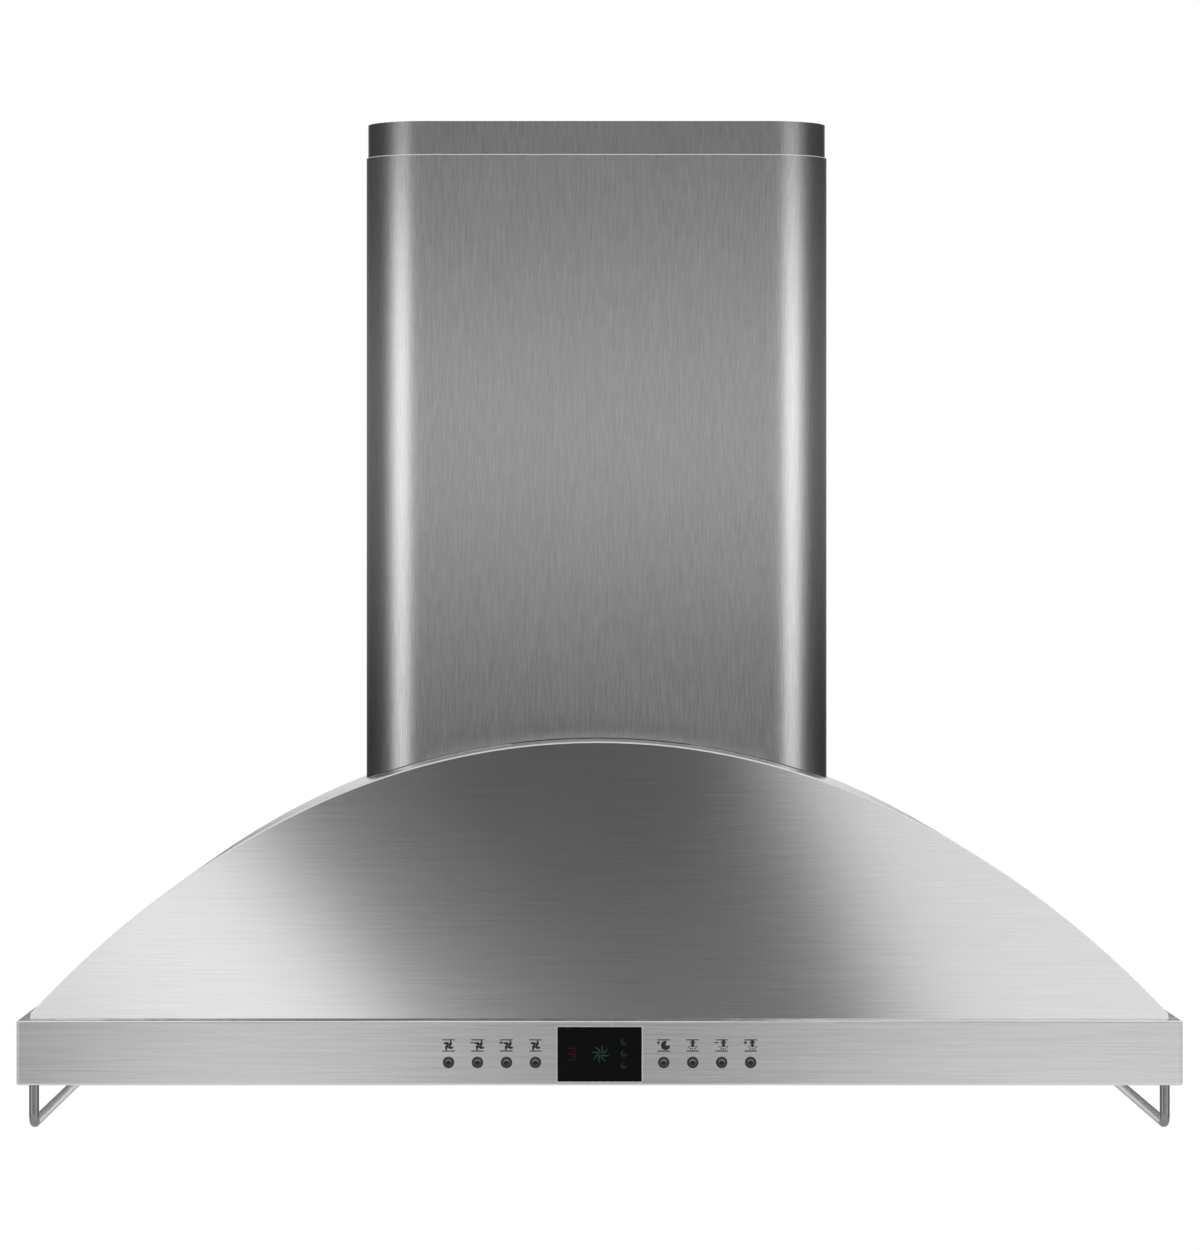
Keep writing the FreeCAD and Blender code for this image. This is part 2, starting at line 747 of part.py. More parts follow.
# ---------------------------------------------------------------- lamps
def lamp_bezel(side):
    """Trim ring with a lip that the lens sits on and a collar through the panel."""
    base = (side * lamp_offset, front + lamp_front, panel_bottom)
    collar = lamp_hole_radius - nest_gap
    inner = lamp_lens_radius + nest_gap / 2
    lip = lamp_lens_radius - lamp_lens_seat
    low = -lamp_flange_sheet
    top = panel_sheet + lamp_collar
    steps = [
        ((lamp_flange_radius - bezel_roll * 0.3, low * 0.75), (lamp_flange_radius - bezel_roll, low)),
        (lip + bezel_roll * 0.8, low),
        ((lip + bezel_roll * 0.25, low * 0.8), (lip, low * 0.4)),
        (lip, 0.0),
        (inner, 0.0),
        (inner, top),
        (collar, top),
        (collar, 0.0),
    ]
    return turned((lamp_flange_radius, 0.0), steps, base, (0, 0, 1))


def lamp_lens(side):
    """Disc of glass with a shallow dome that stands down through the bezel's lip."""
    base = (side * lamp_offset, front + lamp_front, panel_bottom)
    dome = lamp_lens_radius - lamp_lens_seat - nest_gap
    steps = [
        ((dome / 2, -lamp_lens_crown * 0.8), (dome, 0.0)),
        (lamp_lens_radius, 0.0),
        (lamp_lens_radius, lamp_lens_sheet),
        (0.0, lamp_lens_sheet),
    ]
    return turned((0.0, -lamp_lens_crown), steps, base, (0, 0, 1))


def lamp_housing_base(side):
    return side * lamp_offset, front + lamp_front, panel_top + lamp_collar


def lamp_housing(side):
    """Reflector can that stands on the bezel; its neck holds the bulb's cap."""
    top = lamp_housing_height
    neck = bulb_base
    steps = [
        ((lamp_housing_radius - 2 * lamp_wall, top * 0.55), (neck + lamp_shoulder, top - lamp_wall)),
        (neck, top - lamp_wall),
        (neck, top + lamp_neck),
        (neck + lamp_wall, top + lamp_neck),
        (neck + lamp_wall, top),
        (neck + lamp_shoulder + 0.4 * lamp_wall, top),
        ((lamp_housing_radius - lamp_wall, top * 0.55), (lamp_housing_radius, 0.0)),
    ]
    return turned((lamp_housing_radius - lamp_wall, 0.0), steps, lamp_housing_base(side), (0, 0, 1))


def lamp_bulb(side):
    """Capsule bulb, its heights running down from the top of the neck."""
    x, y, z = lamp_housing_base(side)
    cap = lamp_neck + bulb_seat
    tip = cap + bulb_length
    diagonal = bulb_radius * math.sqrt(0.5)
    steps = [
        (bulb_base, 0.0),
        (bulb_base, cap),
        (bulb_radius, cap),
        (bulb_radius, tip - bulb_radius),
        ((diagonal, tip - bulb_radius + diagonal), (0.0, tip)),
    ]
    return turned((0.0, 0.0), steps, (x, y, z + lamp_housing_height + lamp_neck), (0, 0, -1))


# ---------------------------------------------------------------- filters
def filter_limits(place):
    """Outside of a filter frame in X and Y."""
    x = filter_centre(place)
    half = opening_width / 2 - filter_side_gap
    y0 = front + opening_front + filter_front_gap
    y1 = front + opening_front + opening_length - filter_rear_gap
    return x - half, x + half, y0, y1


def filter_frame(place):
    """Frame of C section with two tabs at the rear and ears for the handle."""
    x0, x1, y0, y1 = filter_limits(place)
    z0 = panel_bottom
    z1 = z0 + filter_height
    t = filter_sheet
    frame = box(x0, x1, y0, y1, z0, z1)
    frame = frame.cut(box(x0 + t, x1 - t, y0 + t, y1 - t, z0 + t, z1 - t))
    frame = frame.cut(box(x0 + filter_border, x1 - filter_border, y0 + filter_front_border,
                          y1 - filter_border, z0 - 1, z1 + 1))
    x = filter_centre(place)
    tab_z = panel_top + filter_tab_lift
    parts = [frame]
    for side in (-1, 1):
        tab_x = x + side * opening_width / 4
        parts.append(box(tab_x - filter_tab_width / 2, tab_x + filter_tab_width / 2, y1 - t,
                         y1 + filter_rear_gap + filter_tab_reach, tab_z, tab_z + t))
        parts.append(handle_ear(x, y0 + handle_set_back, side))
    return fused(parts)


def handle_pivot_z():
    return panel_bottom - handle_gap - handle_wire / 2


def handle_ear(x, y, side):
    """Rounded ear under the frame, bored for one end of the handle."""
    z = handle_pivot_z()
    radius = handle_wire / 2 + handle_pivot_gap
    outer = radius + ear_wall
    inner_x = handle_width / 2 + handle_wire / 2 + handle_gap
    x0 = x + min(side * inner_x, side * (inner_x + ear_width))
    ear = fused([rod((x0, y, z), (1, 0, 0), ear_width, outer),
                 box(x0, x0 + ear_width, y - outer, y + outer, z, panel_bottom)])
    return ear.cut(rod((x0 - 1, y, z), (1, 0, 0), ear_width + 2, radius))


def filter_handle(place):
    """Wire bail: two ends in the ears, two legs and the grip, folded flat to the rear."""
    x = filter_centre(place)
    y = filter_limits(place)[2] + handle_set_back
    z = handle_pivot_z()
    half = handle_width / 2
    end = half + handle_wire / 2 + handle_gap + ear_width
    bend = handle_bend
    knee = bend * (1 - math.sqrt(0.5))
    grip = y + handle_length

    def leg(side):
        elbow = side * half
        return [
            ((x + side * end, y), (x + elbow, y)),
            ((x + elbow, y), (x + elbow, grip - bend)),
        ]

    radius = handle_wire / 2
    parts = []
    for side in (-1, 1):
        for (ax, ay), (bx, by) in leg(side):
            axis = (bx - ax, by - ay, 0)
            parts.append(rod((ax, ay, z), axis, math.hypot(bx - ax, by - ay), radius))
        parts.append(Part.makeSphere(radius, V(x + side * half, y, z)))
        corner_x = x + side * half
        arc = Part.Arc(V(corner_x, grip - bend, z), V(corner_x - side * knee, grip - knee, z),
                       V(corner_x - side * bend, grip, z)).toShape()
        section = Part.Wire(Part.makeCircle(radius, V(corner_x, grip - bend, z), V(0, 1, 0)))
        parts.append(Part.Wire([arc]).makePipeShell([section], True, False))
    parts.append(rod((x - half + bend, grip, z), (1, 0, 0), 2 * (half - bend), radius))
    return fused(parts)


def filter_magnets(place):
    """Two magnets on the front border of a filter."""
    wide, deep, tall = magnet_size
    y0 = filter_limits(place)[2]
    z0 = panel_bottom + filter_height
    middles = [filter_centre(place) + side * magnet_offset for side in (-1, 1)]
    return [box(x - wide / 2, x + wide / 2, y0, y0 + deep, z0, z0 + tall) for x in middles]


def filter_baffles(place):
    """Two rows of channels: the lower row open upwards, the upper row hooked over its gaps."""
    x0, x1, y0, y1 = filter_limits(place)
    z_low = panel_bottom + filter_sheet
    z_high = panel_bottom + filter_height - filter_sheet - baffle_height
    start = y0 + filter_front_border - baffle_end_lap
    end = y1 - filter_border + baffle_end_lap
    inner = x1 - x0 - 2 * filter_sheet
    count = int((inner - baffle_width) // baffle_pitch) + 1
    first = filter_centre(place) - (count - 1) * baffle_pitch / 2
    t = baffle_sheet
    half = baffle_width / 2
    channels = []
    for k in range(count):
        x = first + k * baffle_pitch
        channel = box(x - half, x + half, start, end, z_low, z_low + baffle_height)
        channels.append(channel.cut(box(x - half + t, x + half - t, start - 1, end + 1,
                                        z_low + t, z_low + baffle_height + 1)))
    for k in range(count - 1):
        x = first + (k + 0.5) * baffle_pitch
        channel = box(x - half, x + half, start, end, z_high, z_high + baffle_height)
        channels.append(channel.cut(box(x - half + t, x + half - t, start - 1, end + 1,
                                        z_high - 1, z_high + baffle_height - t)))
    return channels


# ---------------------------------------------------------------- blower
def scroll_steps(grow, top):
    """Scroll outline about the wheel: a throat, then three quarter arcs of growing radius."""
    s = scroll_step
    r1 = scroll_first_radius + grow
    r2 = r1 + s
    r3 = r2 + s
    diagonal = math.sqrt(0.5)
    y = wheel_y
    z = blower_axis_height
    rear = (y + s / 2, z - s / 2)
    low = (y - s / 2, z - s / 2)
    high = (y - s / 2, z + s / 2)
    tongue = y - outlet_tongue + grow
    steps = [
        (high[0] - r3, high[1]),
        ((high[0] - r3 * diagonal, high[1] - r3 * diagonal), (high[0], high[1] - r3)),
        ((low[0] + r2 * diagonal, low[1] - r2 * diagonal), (low[0] + r2, low[1])),
        ((rear[0] + r1 * diagonal, rear[1] + r1 * diagonal), (rear[0], rear[1] + r1)),
        (tongue, rear[1] + r1),
        (tongue, top),
    ]
    return (high[0] - r3, top), steps


def blower_housing():
    """Spiral band between two side plates that the inlet rings lead through."""
    t = blower_sheet
    start, steps = scroll_steps(t, outlet_bottom)
    band = prism_x(start, steps, -scroll_half, scroll_half)
    hole = rod((-scroll_half - t - 1, wheel_y, blower_axis_height), (1, 0, 0),
               2 * (scroll_half + t + 1), inlet_radius + inlet_curl)
    plates = [prism_x(start, steps, min(s * scroll_half, s * (scroll_half + t)),
                      max(s * scroll_half, s * (scroll_half + t))).cut(hole) for s in (-1, 1)]
    start, steps = scroll_steps(0.0, outlet_bottom + 1)
    band = band.cut(prism_x(start, steps, -scroll_half - 1, scroll_half + 1))
    return [band] + plates


def inlet_ring(side):
    """Bell mouth that leads the air into the wheel; heights run into the housing."""
    t = blower_sheet
    curl = inlet_curl - t
    throat = inlet_radius + t
    bend = math.sqrt(0.5)
    outer = inlet_radius + inlet_curl
    steps = [
        (inlet_flange_radius, 0.0),
        (outer, 0.0),
        ((outer - curl * bend, curl * (1 - bend)), (outer - curl, curl)),
        (throat - t, curl),
        ((outer - inlet_curl * bend, inlet_curl * (1 - bend) - t), (outer, -t)),
    ]
    base = (side * (scroll_half + t), wheel_y, blower_axis_height)
    return turned((inlet_flange_radius, -t), steps, base, (-side, 0, 0))


def blower_wheel():
    half = wheel_width / 2
    inner = wheel_bore
    centre = (wheel_y, blower_axis_height)
    disc = rod((-wheel_disc_sheet / 2, *centre), (1, 0, 0), wheel_disc_sheet, wheel_radius)
    hub = rod((-hub_length / 2, *centre), (1, 0, 0), hub_length, hub_radius)
    parts = [disc, hub]
    for side in (-1, 1):
        x0 = side * (half - wheel_rim_width / 2) - wheel_rim_width / 2
        ring = rod((x0, *centre), (1, 0, 0), wheel_rim_width, wheel_radius)
        parts.append(ring.cut(rod((x0 - 1, *centre), (1, 0, 0), wheel_rim_width + 2, inner)))
    lean = math.tan(math.radians(blade_angle))
    t = blade_sheet / 2
    root = inner + blade_end_gap
    tip = wheel_radius - blade_end_gap
    bow = (tip - root) * lean / 2
    blade = prism_x((root, -t), [((root / 2 + tip / 2, bow - t), (tip, -t)), (tip, t),
                                 ((root / 2 + tip / 2, bow + t), (root, t))], -half, half)
    for k in range(wheel_blades):
        turn = blade.copy()
        turn.rotate(V(0, 0, 0), V(1, 0, 0), 360 * k / wheel_blades)
        turn.translate(V(0, *centre))
        parts.append(turn)
    wheel = fused(parts)
    return wheel.cut(rod((-half, *centre), (1, 0, 0), 2 * half, shaft_radius))


def motor_shaft():
    start = -hub_length / 2 - shaft_front
    length = motor_start + shaft_in_motor - start
    return rod((start, wheel_y, blower_axis_height), (1, 0, 0), length, shaft_radius)


def motor():
    """Motor can; heights run along +X from its front bell."""
    bore = shaft_radius + shaft_gap
    step = motor_bend
    r = motor_radius
    steps = [
        (r - step, 0.0),
        ((r - step * 0.3, step * 0.3), (r, step)),
        (r, motor_length - step),
        ((r - step * 0.3, motor_length - step * 0.3), (r - step, motor_length)),
        (0.0, motor_length),
        (0.0, shaft_in_motor + shaft_end_gap),
        (bore, shaft_in_motor + shaft_end_gap),
    ]
    base = (motor_start, wheel_y, blower_axis_height)
    return turned((bore, 0.0), steps, base, (1, 0, 0))


def motor_bracket():
    """Ring round the motor with arms to the side plate of the scroll."""
    centre = (wheel_y, blower_axis_height)
    plate = scroll_half + blower_sheet
    x0 = motor_start + motor_length - bracket_set_back
    ring = rod((x0, *centre), (1, 0, 0), bracket_sheet, motor_radius + bracket_ring_width)
    reach = inlet_flange_radius + arm_gap + arm_foot
    parts = [ring]
    for k in range(arm_count):
        arm = box(x0, x0 + bracket_sheet, motor_radius, reach, -arm_width / 2, arm_width / 2)
        post = box(plate, x0 + bracket_sheet, reach - bracket_sheet, reach,
                   -arm_width / 2, arm_width / 2)
        foot = box(plate, plate + bracket_sheet, reach - arm_foot, reach,
                   -arm_width / 2, arm_width / 2)
        for piece in (arm, post, foot):
            piece.rotate(V(0, 0, 0), V(1, 0, 0), 90 + 360 * k / arm_count)
            piece.translate(V(0, *centre))
            parts.append(piece)
    bracket = fused(parts)
    return bracket.cut(rod((plate - 1, *centre), (1, 0, 0), motor_length, motor_radius))


def blower_bracket():
    """Plate on the back panel with an arm along each side of the scroll."""
    side = scroll_half + blower_sheet
    z1 = blower_axis_height - inlet_flange_radius - hanger_gap
    z0 = z1 - hanger_height
    y1 = -back_sheet
    plate = box(-hanger_width, hanger_width, y1 - bracket_sheet, y1, z0, z1)
    arms = [box(min(s * side, s * (side + bracket_sheet)), max(s * side, s * (side + bracket_sheet)),
                y1 - hanger_length, y1 - bracket_sheet, z0, z1) for s in (-1, 1)]
    return fused([plate] + arms)


def outlet_box():
    """Floor with the scroll's throat, four walls in one band, and a lid with the collar's hole."""
    half = outlet_box_half_width
    t = blower_sheet
    floor_top = outlet_bottom + t
    lid_foot = collar_foot - t
    floor = box(-half, half, scroll_front, scroll_rear, outlet_bottom, floor_top)
    floor = floor.cut(box(-scroll_half, scroll_half, scroll_front + t, wheel_y - outlet_tongue,
                          outlet_bottom - 1, floor_top + 1))
    walls = box(-half, half, scroll_front, scroll_rear, floor_top, lid_foot)
    walls = walls.cut(box(-half + t, half - t, scroll_front + t, scroll_rear - t,
                          floor_top - 1, lid_foot + 1))
    lid = box(-half, half, scroll_front, scroll_rear, lid_foot, collar_foot)
    lid = lid.cut(rod((0, collar_y, lid_foot - 1), (0, 0, 1), t + 2, collar_radius - t))
    return [floor, walls, lid]


def outlet_collar():
    """Round spigot for the duct on a narrow flange, bored across for the damper's rod."""
    t = blower_sheet
    ring = rod((0, collar_y, collar_foot), (0, 0, 1), t, collar_radius + collar_flange)
    pipe = rod((0, collar_y, collar_foot), (0, 0, 1), collar_length, collar_radius)
    body = fused([ring, pipe])
    body = body.cut(rod((0, collar_y, collar_foot - 1), (0, 0, 1), collar_length + 2,
                        collar_radius - t))
    return body.cut(rod((-collar_radius - 1, collar_y, damper_z), (1, 0, 0),
                        2 * collar_radius + 2, damper_rod_radius))


def damper_rod():
    reach = collar_radius
    return rod((-reach, collar_y, damper_z), (1, 0, 0), 2 * reach, damper_rod_radius)


def damper_flap(side):
    """Half disc hung on the rod; side -1 is the front one, +1 the rear one."""
    radius = collar_radius - blower_sheet - flap_gap
    z0 = damper_z - flap_sheet / 2
    disc = rod((0, collar_y, z0), (0, 0, 1), flap_sheet, radius)
    edge = collar_y + side * flap_start
    far = collar_y + side * (radius + 1)
    half_disc = disc.common(box(-radius, radius, min(edge, far), max(edge, far),
                                z0 - 1, z0 + flap_sheet + 1))
    first = -1.5 * knuckle_length if side < 0 else -2.5 * knuckle_length
    parts = [half_disc]
    x = first
    while x < radius - knuckle_length:
        x0 = x + knuckle_gap / 2
        x1 = x + knuckle_length - knuckle_gap / 2
        parts.append(rod((x0, collar_y, damper_z), (1, 0, 0), x1 - x0, knuckle_radius))
        near = collar_y + side * damper_rod_radius
        parts.append(box(x0, x1, min(near, edge + side), max(near, edge + side),
                         z0, z0 + flap_sheet))
        x = x + 2 * knuckle_length
    flap = fused(parts)
    return flap.cut(rod((-radius - 1, collar_y, damper_z), (1, 0, 0), 2 * radius + 2,
                        damper_rod_radius + damper_rod_gap))


# ---------------------------------------------------------------- electrical parts
def transformer():
    wide, deep, tall = transformer_core
    coil_wide, coil_deep, coil_tall = transformer_coil
    x = transformer_offset
    z = transformer_height
    y1 = -back_sheet
    middle = y1 - coil_deep / 2
    core = box(x - wide / 2, x + wide / 2, middle - deep / 2, middle + deep / 2, z, z + tall)
    coil = box(x - coil_wide / 2, x + coil_wide / 2, y1 - coil_deep, y1,
               z + (tall - coil_tall) / 2, z + (tall + coil_tall) / 2)
    edges = [e for e in coil.Edges if e.BoundBox.ZLength > 1 and e.BoundBox.YMax < y1 - 1]
    coil = coil.makeFillet(coil_corner, edges)
    foot = box(x - wide / 2 - transformer_foot, x + wide / 2 + transformer_foot,
               y1 - bracket_sheet, y1, z, z + transformer_foot_height)
    return fused([core, coil, foot])


def junction_limits():
    wide, deep, tall = junction_size
    x = junction_offset
    y1 = -back_sheet
    return x - wide / 2, x + wide / 2, y1 - deep, y1, junction_bottom, junction_bottom + tall


def junction_box():
    x0, x1, y0, y1, z0, z1 = junction_limits()
    t = junction_sheet
    body = box(x0, x1, y0, y1, z0, z1).cut(box(x0 + t, x1 - t, y0 - 1, y1 - t, z0 + t, z1 - t))
    return body.cut(rod((junction_offset, y1 - t - 1, (z0 + z1) / 2), (0, 1, 0), t + 2,
                        cable_hole_radius))


def junction_box_lid():
    x0, x1, y0, y1, z0, z1 = junction_limits()
    t = junction_sheet
    lid = box(x0, x1, y0 - t, y0, z0, z1)
    inner = box(x0 + t + nest_gap, x1 - t - nest_gap, y0, y0 + junction_lid_reach,
                z0 + t + nest_gap, z1 - t - nest_gap)
    hollow = box(x0 + 2 * t + nest_gap, x1 - 2 * t - nest_gap, y0, y0 + junction_lid_reach + t,
                 z0 + 2 * t + nest_gap, z1 - 2 * t - nest_gap)
    return fused([lid, inner.cut(hollow)])


def capacitor():
    """Can strapped to the left side plate, with two tags on its end."""
    x = -scroll_half - blower_sheet - capacitor_radius
    y = scroll_front + capacitor_radius + blower_sheet
    z0 = outlet_bottom - capacitor_length - capacitor_drop
    z1 = z0 + capacitor_length
    can = rod((x, y, z0), (0, 0, 1), capacitor_length, capacitor_radius)
    can = can.makeFillet(capacitor_edge, [e for e in can.Edges if len(e.Vertexes) == 1])
    wide, thin, tall = tag_size
    tags = [box(x + s * tag_offset - wide / 2, x + s * tag_offset + wide / 2,
                y - thin / 2, y + thin / 2, z1 - 1, z1 + tall) for s in (-1, 1)]
    pad = box(x, -scroll_half - blower_sheet, y - capacitor_pad / 2, y + capacitor_pad / 2,
              z0 + capacitor_length * 0.3, z0 + capacitor_length * 0.7)
    return fused([can, pad] + tags)


# ---------------------------------------------------------------- write every piece
def main():
    os.makedirs("parts", exist_ok=True)
    save("rim", rim())
    save("canopy_arch", canopy_arch())
    save("canopy_front", canopy_front())
    save("back_panel", back_panel())
    save("underside_panel", underside_panel())
    save("screws", *screws())
    save("lower_duct_cover", lower_duct_cover())
    save("upper_duct_cover", upper_duct_cover())
    save("cover_strap", cover_strap())
    save("rail_nuts", *rail_nuts())
    for side, name in ((-1, "left"), (1, "right")):
        save("rail_" + name, rail(side))
        save("lamp_bezel_" + name, lamp_bezel(side))
        save("lamp_lens_" + name, lamp_lens(side))
    save("lamp_housings", lamp_housing(-1), lamp_housing(1))
    save("lamp_bulbs", lamp_bulb(-1), lamp_bulb(1))
    save("button_rings", *[button_ring(x) for x in button_places()])
    for k, x in enumerate(sorted(button_places())):
        save("button_" + str(k + 1), button(x))
    save("display_frame", display_frame())
    save("display_window", display_window())
    save("control_board", control_board())
    save("control_box", control_box())
    save("control_box_lid", control_box_lid())
    for place in filter_places():
        name = side_names[place]
        save("filter_frame_" + name, filter_frame(place))
        save("filter_baffles_" + name, *filter_baffles(place))
        save("filter_magnets_" + name, *filter_magnets(place))
        save("filter_handle_" + name, filter_handle(place))
    save("blower_housing", *blower_housing())
    save("inlet_rings", inlet_ring(-1), inlet_ring(1))
    save("blower_wheel", blower_wheel())
    save("motor_shaft", motor_shaft())
    save("motor", motor())
    save("motor_bracket", motor_bracket())
    save("blower_bracket", blower_bracket())
    save("outlet_box", *outlet_box())
    save("outlet_collar", outlet_collar())
    save("damper_rod", damper_rod())
    save("damper_flap_front", damper_flap(-1))
    save("damper_flap_rear", damper_flap(1))
    save("transformer", transformer())
    save("junction_box", junction_box())
    save("junction_box_lid", junction_box_lid())
    save("capacitor", capacitor())


main()
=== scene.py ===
import math

import bmesh
import bpy
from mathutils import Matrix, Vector


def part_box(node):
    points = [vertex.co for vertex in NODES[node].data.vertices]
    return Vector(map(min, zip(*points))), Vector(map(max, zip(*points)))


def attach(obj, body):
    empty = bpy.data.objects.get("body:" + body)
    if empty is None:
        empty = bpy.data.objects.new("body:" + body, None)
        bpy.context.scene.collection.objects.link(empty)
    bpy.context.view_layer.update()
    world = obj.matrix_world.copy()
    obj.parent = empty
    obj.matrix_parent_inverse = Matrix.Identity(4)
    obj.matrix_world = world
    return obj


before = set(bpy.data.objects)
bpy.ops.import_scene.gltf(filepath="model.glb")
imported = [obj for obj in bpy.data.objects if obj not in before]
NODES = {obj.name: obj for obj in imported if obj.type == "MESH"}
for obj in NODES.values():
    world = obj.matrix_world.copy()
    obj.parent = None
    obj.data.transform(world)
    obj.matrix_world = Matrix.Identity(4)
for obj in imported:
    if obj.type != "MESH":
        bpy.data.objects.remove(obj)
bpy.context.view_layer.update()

bl_info = {
    "name": "Curved chimney hood finish",
    "version": (1, 0, 0),
    "blender": (4, 5, 0),
    "location": "View3D > Sidebar > Hood",
    "description": "Dresses an arched steel hood: sheets, controls, lamps, filters and blower",
    "category": "Object",
}

FACE_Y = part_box("rim")[0].y  # front face of the rim
MARK_DEPTH = 0.00005  # printed marks stand this far off the face
BUTTONS = sorted(n for n in NODES if n.startswith("button_") and n != "button_rings")
SIDES = ("left", "middle", "right")
WHITE = (1.0, 1.0, 1.0, 1.0)
SHEET_DUST = (0.32, 0.31, 0.29, 1.0)
METAL_DUST = (0.30, 0.29, 0.27, 1.0)
PLASTIC_DUST = (0.25, 0.24, 0.22, 1.0)
EDGE_HIGHLIGHT = (0.58, 0.58, 0.58, 1.0)  # pale grey painted along a sheet's edge as a painted highlight
GRAIN_FINE = 1300.0  # streaks for each metre across the grain
GRAIN_LONG = 16.0  # and along it
FILM_WIDTH = 36.0  # sensor of the camera, in millimetres
FLOOR_GLOW = 1.06  # brings the floor to white in the picture
LAMP_SIZE = 1.6  # side of a soft lamp
LAMP_PLACE = (2.2, -2.8, 2.3)  # of the right lamp; the left one mirrors it
LAMP_AIM = Vector((0.0, -0.3, 0.3))
DIGIT = (-0.0217, 0.0243, 0.0060, 0.0098, 0.0010)  # x, z, width, height and weight
DISPLAY_FAN = (0.0007, 0.0243, 0.0069, 8, 0.0009, 26.0)  # x, z, radius, blades, blade's width and sweep
MOON_X, MOON_SIZE = 0.0187, 0.0026  # place and radius of the moons
MOON_HEIGHTS = (0.0336, 0.0247, 0.0154)
CORE_HALF, COIL_HALF = 0.015, 0.022  # halves of the core's depth and the winding's width
UP_THE_PANEL = (0.0, 0.755, 0.656)  # square to the grain of the leaning front
FILTER_GRAIN, BAFFLE_GRAIN = (9.0, 1800.0, 1800.0), (1800.0, 9.0, 1800.0)
# radius and height pairs of a domed rivet
RIVET = [(0.0, 0.0), (0.0024, 0.0), (0.0024, 0.0002), (0.0019, 0.0007), (0.0010, 0.0010), (0.0, 0.0011)]


# ---- settings
def colour(name, text, value):
    """A colour setting in linear values."""
    return bpy.props.FloatVectorProperty(name=name, description=text, subtype="COLOR", size=3,
                                         min=0.0, max=1.0, default=value)


def length(name, text, value):
    """A length setting in metres."""
    return bpy.props.FloatProperty(name=name, description=text, default=value, min=0.0,
                                   unit="LENGTH", precision=5)


def position(name, text, value):
    """A place in metres, on either side of zero."""
    return bpy.props.FloatProperty(name=name, description=text, default=value, unit="LENGTH", precision=5)


def share(name, text, value, top=1.0):
    """A plain number setting."""
    return bpy.props.FloatProperty(name=name, description=text, default=value, min=0.0, max=top)


class HOOD_PG_shell(bpy.types.PropertyGroup):
    """Finish of the visible steel sheets."""
    rim_colour: colour("Rim colour", "Steel of the rim round the foot of the canopy", (0.67, 0.67, 0.67))
    panel_colour: colour("Front panel colour", "Steel of the leaning front panel", (0.60, 0.60, 0.60))
    arch_colour: colour("Arch colour", "Steel of the arched sheet", (0.58, 0.58, 0.58))
    cover_colour: colour("Duct cover colour", "Steel of both duct covers", (0.55, 0.55, 0.55))
    liner_colour: colour("Underside colour", "Steel of the underside panel", (0.56, 0.56, 0.57))
    lean: share("Lean", "Run of the leaning front panel for each unit of its rise", 1.15, 5.0)
    roughness: share("Roughness", "How soft the sheets mirror their surroundings", 0.25)
    grain: share("Grain", "How strongly the brushing shows", 0.5)


class HOOD_PG_controls(bpy.types.PropertyGroup):
    """Marks over the buttons and behind the display glass."""
    mark_colour: colour("Mark colour", "Ink of the printed marks", (0.012, 0.012, 0.013))
    digit_colour: colour("Digit colour", "Unlit digit behind the glass", (0.022, 0.002, 0.004))
    symbol_colour: colour("Symbol colour", "Fan behind the glass", (0.016, 0.044, 0.034))
    moon_colour: colour("Moon colour", "Moons behind the glass", (0.005, 0.016, 0.012))
    cap_colour: colour("Cap colour", "Domed caps of the buttons", (0.050, 0.050, 0.052))
    icon_height: length("Icon height", "Centre of the icons above the rim's lower edge", 0.0309)
    icon_size: length("Icon size", "Radius of a fan icon", 0.0042)
    rule_width: length("Rule width", "Length of the thin rules over and under an icon", 0.0096)
    rule_gap: length("Rule gap", "From the icon's centre to a rule", 0.0043)
    rule_weight: length("Rule weight", "Thickness of a rule", 0.0008)


class HOOD_PG_inside(bpy.types.PropertyGroup):
    """Finish of the parts under and inside the canopy."""
    zinc_colour: colour("Zinc colour", "Zinc coated sheet", (0.50, 0.51, 0.53))
    plastic_colour: colour("Plastic colour", "Moulded blower parts", (0.045, 0.045, 0.048))
    board_colour: colour("Board colour", "Lacquer of the control board", (0.015, 0.13, 0.05))
    copper_colour: colour("Winding colour", "Taped winding of the transformer", (0.45, 0.24, 0.03))
    wire_radius: length("Wire radius", "Radius of a sheathed lead", 0.0022)


class HOOD_PG_stage(bpy.types.PropertyGroup):
    """Camera, floor and light."""
    camera_x: position("Camera X", "Sideways place of the camera", -0.02586)
    camera_y: position("Camera Y", "Place of the camera before the wall", -4.9)
    camera_z: position("Camera Z", "Height of the camera", 0.36788)
    focal: bpy.props.FloatProperty(name="Focal length", description="Focal length in millimetres",
                                   default=160.5, min=1.0)
    shift_x: bpy.props.FloatProperty(name="Sideways shift", description="Sideways shift of the lens",
                                     default=0.02715, precision=5)
    shift_y: bpy.props.FloatProperty(name="Upward shift", description="Upward shift of the lens",
                                     default=-0.01302, precision=5)
    floor_drop: length("Floor drop", "Floor below the hood", 1.1)
    key_power: share("Key power", "Power of the two large soft lamps, in watts", 60.0, 1000.0)
    fill_level: share("Fill level", "Strength of the even light from all round", 0.62, 10.0)


GROUPS = {
    "hood_shell": HOOD_PG_shell,
    "hood_controls": HOOD_PG_controls,
    "hood_inside": HOOD_PG_inside,
    "hood_stage": HOOD_PG_stage,
}


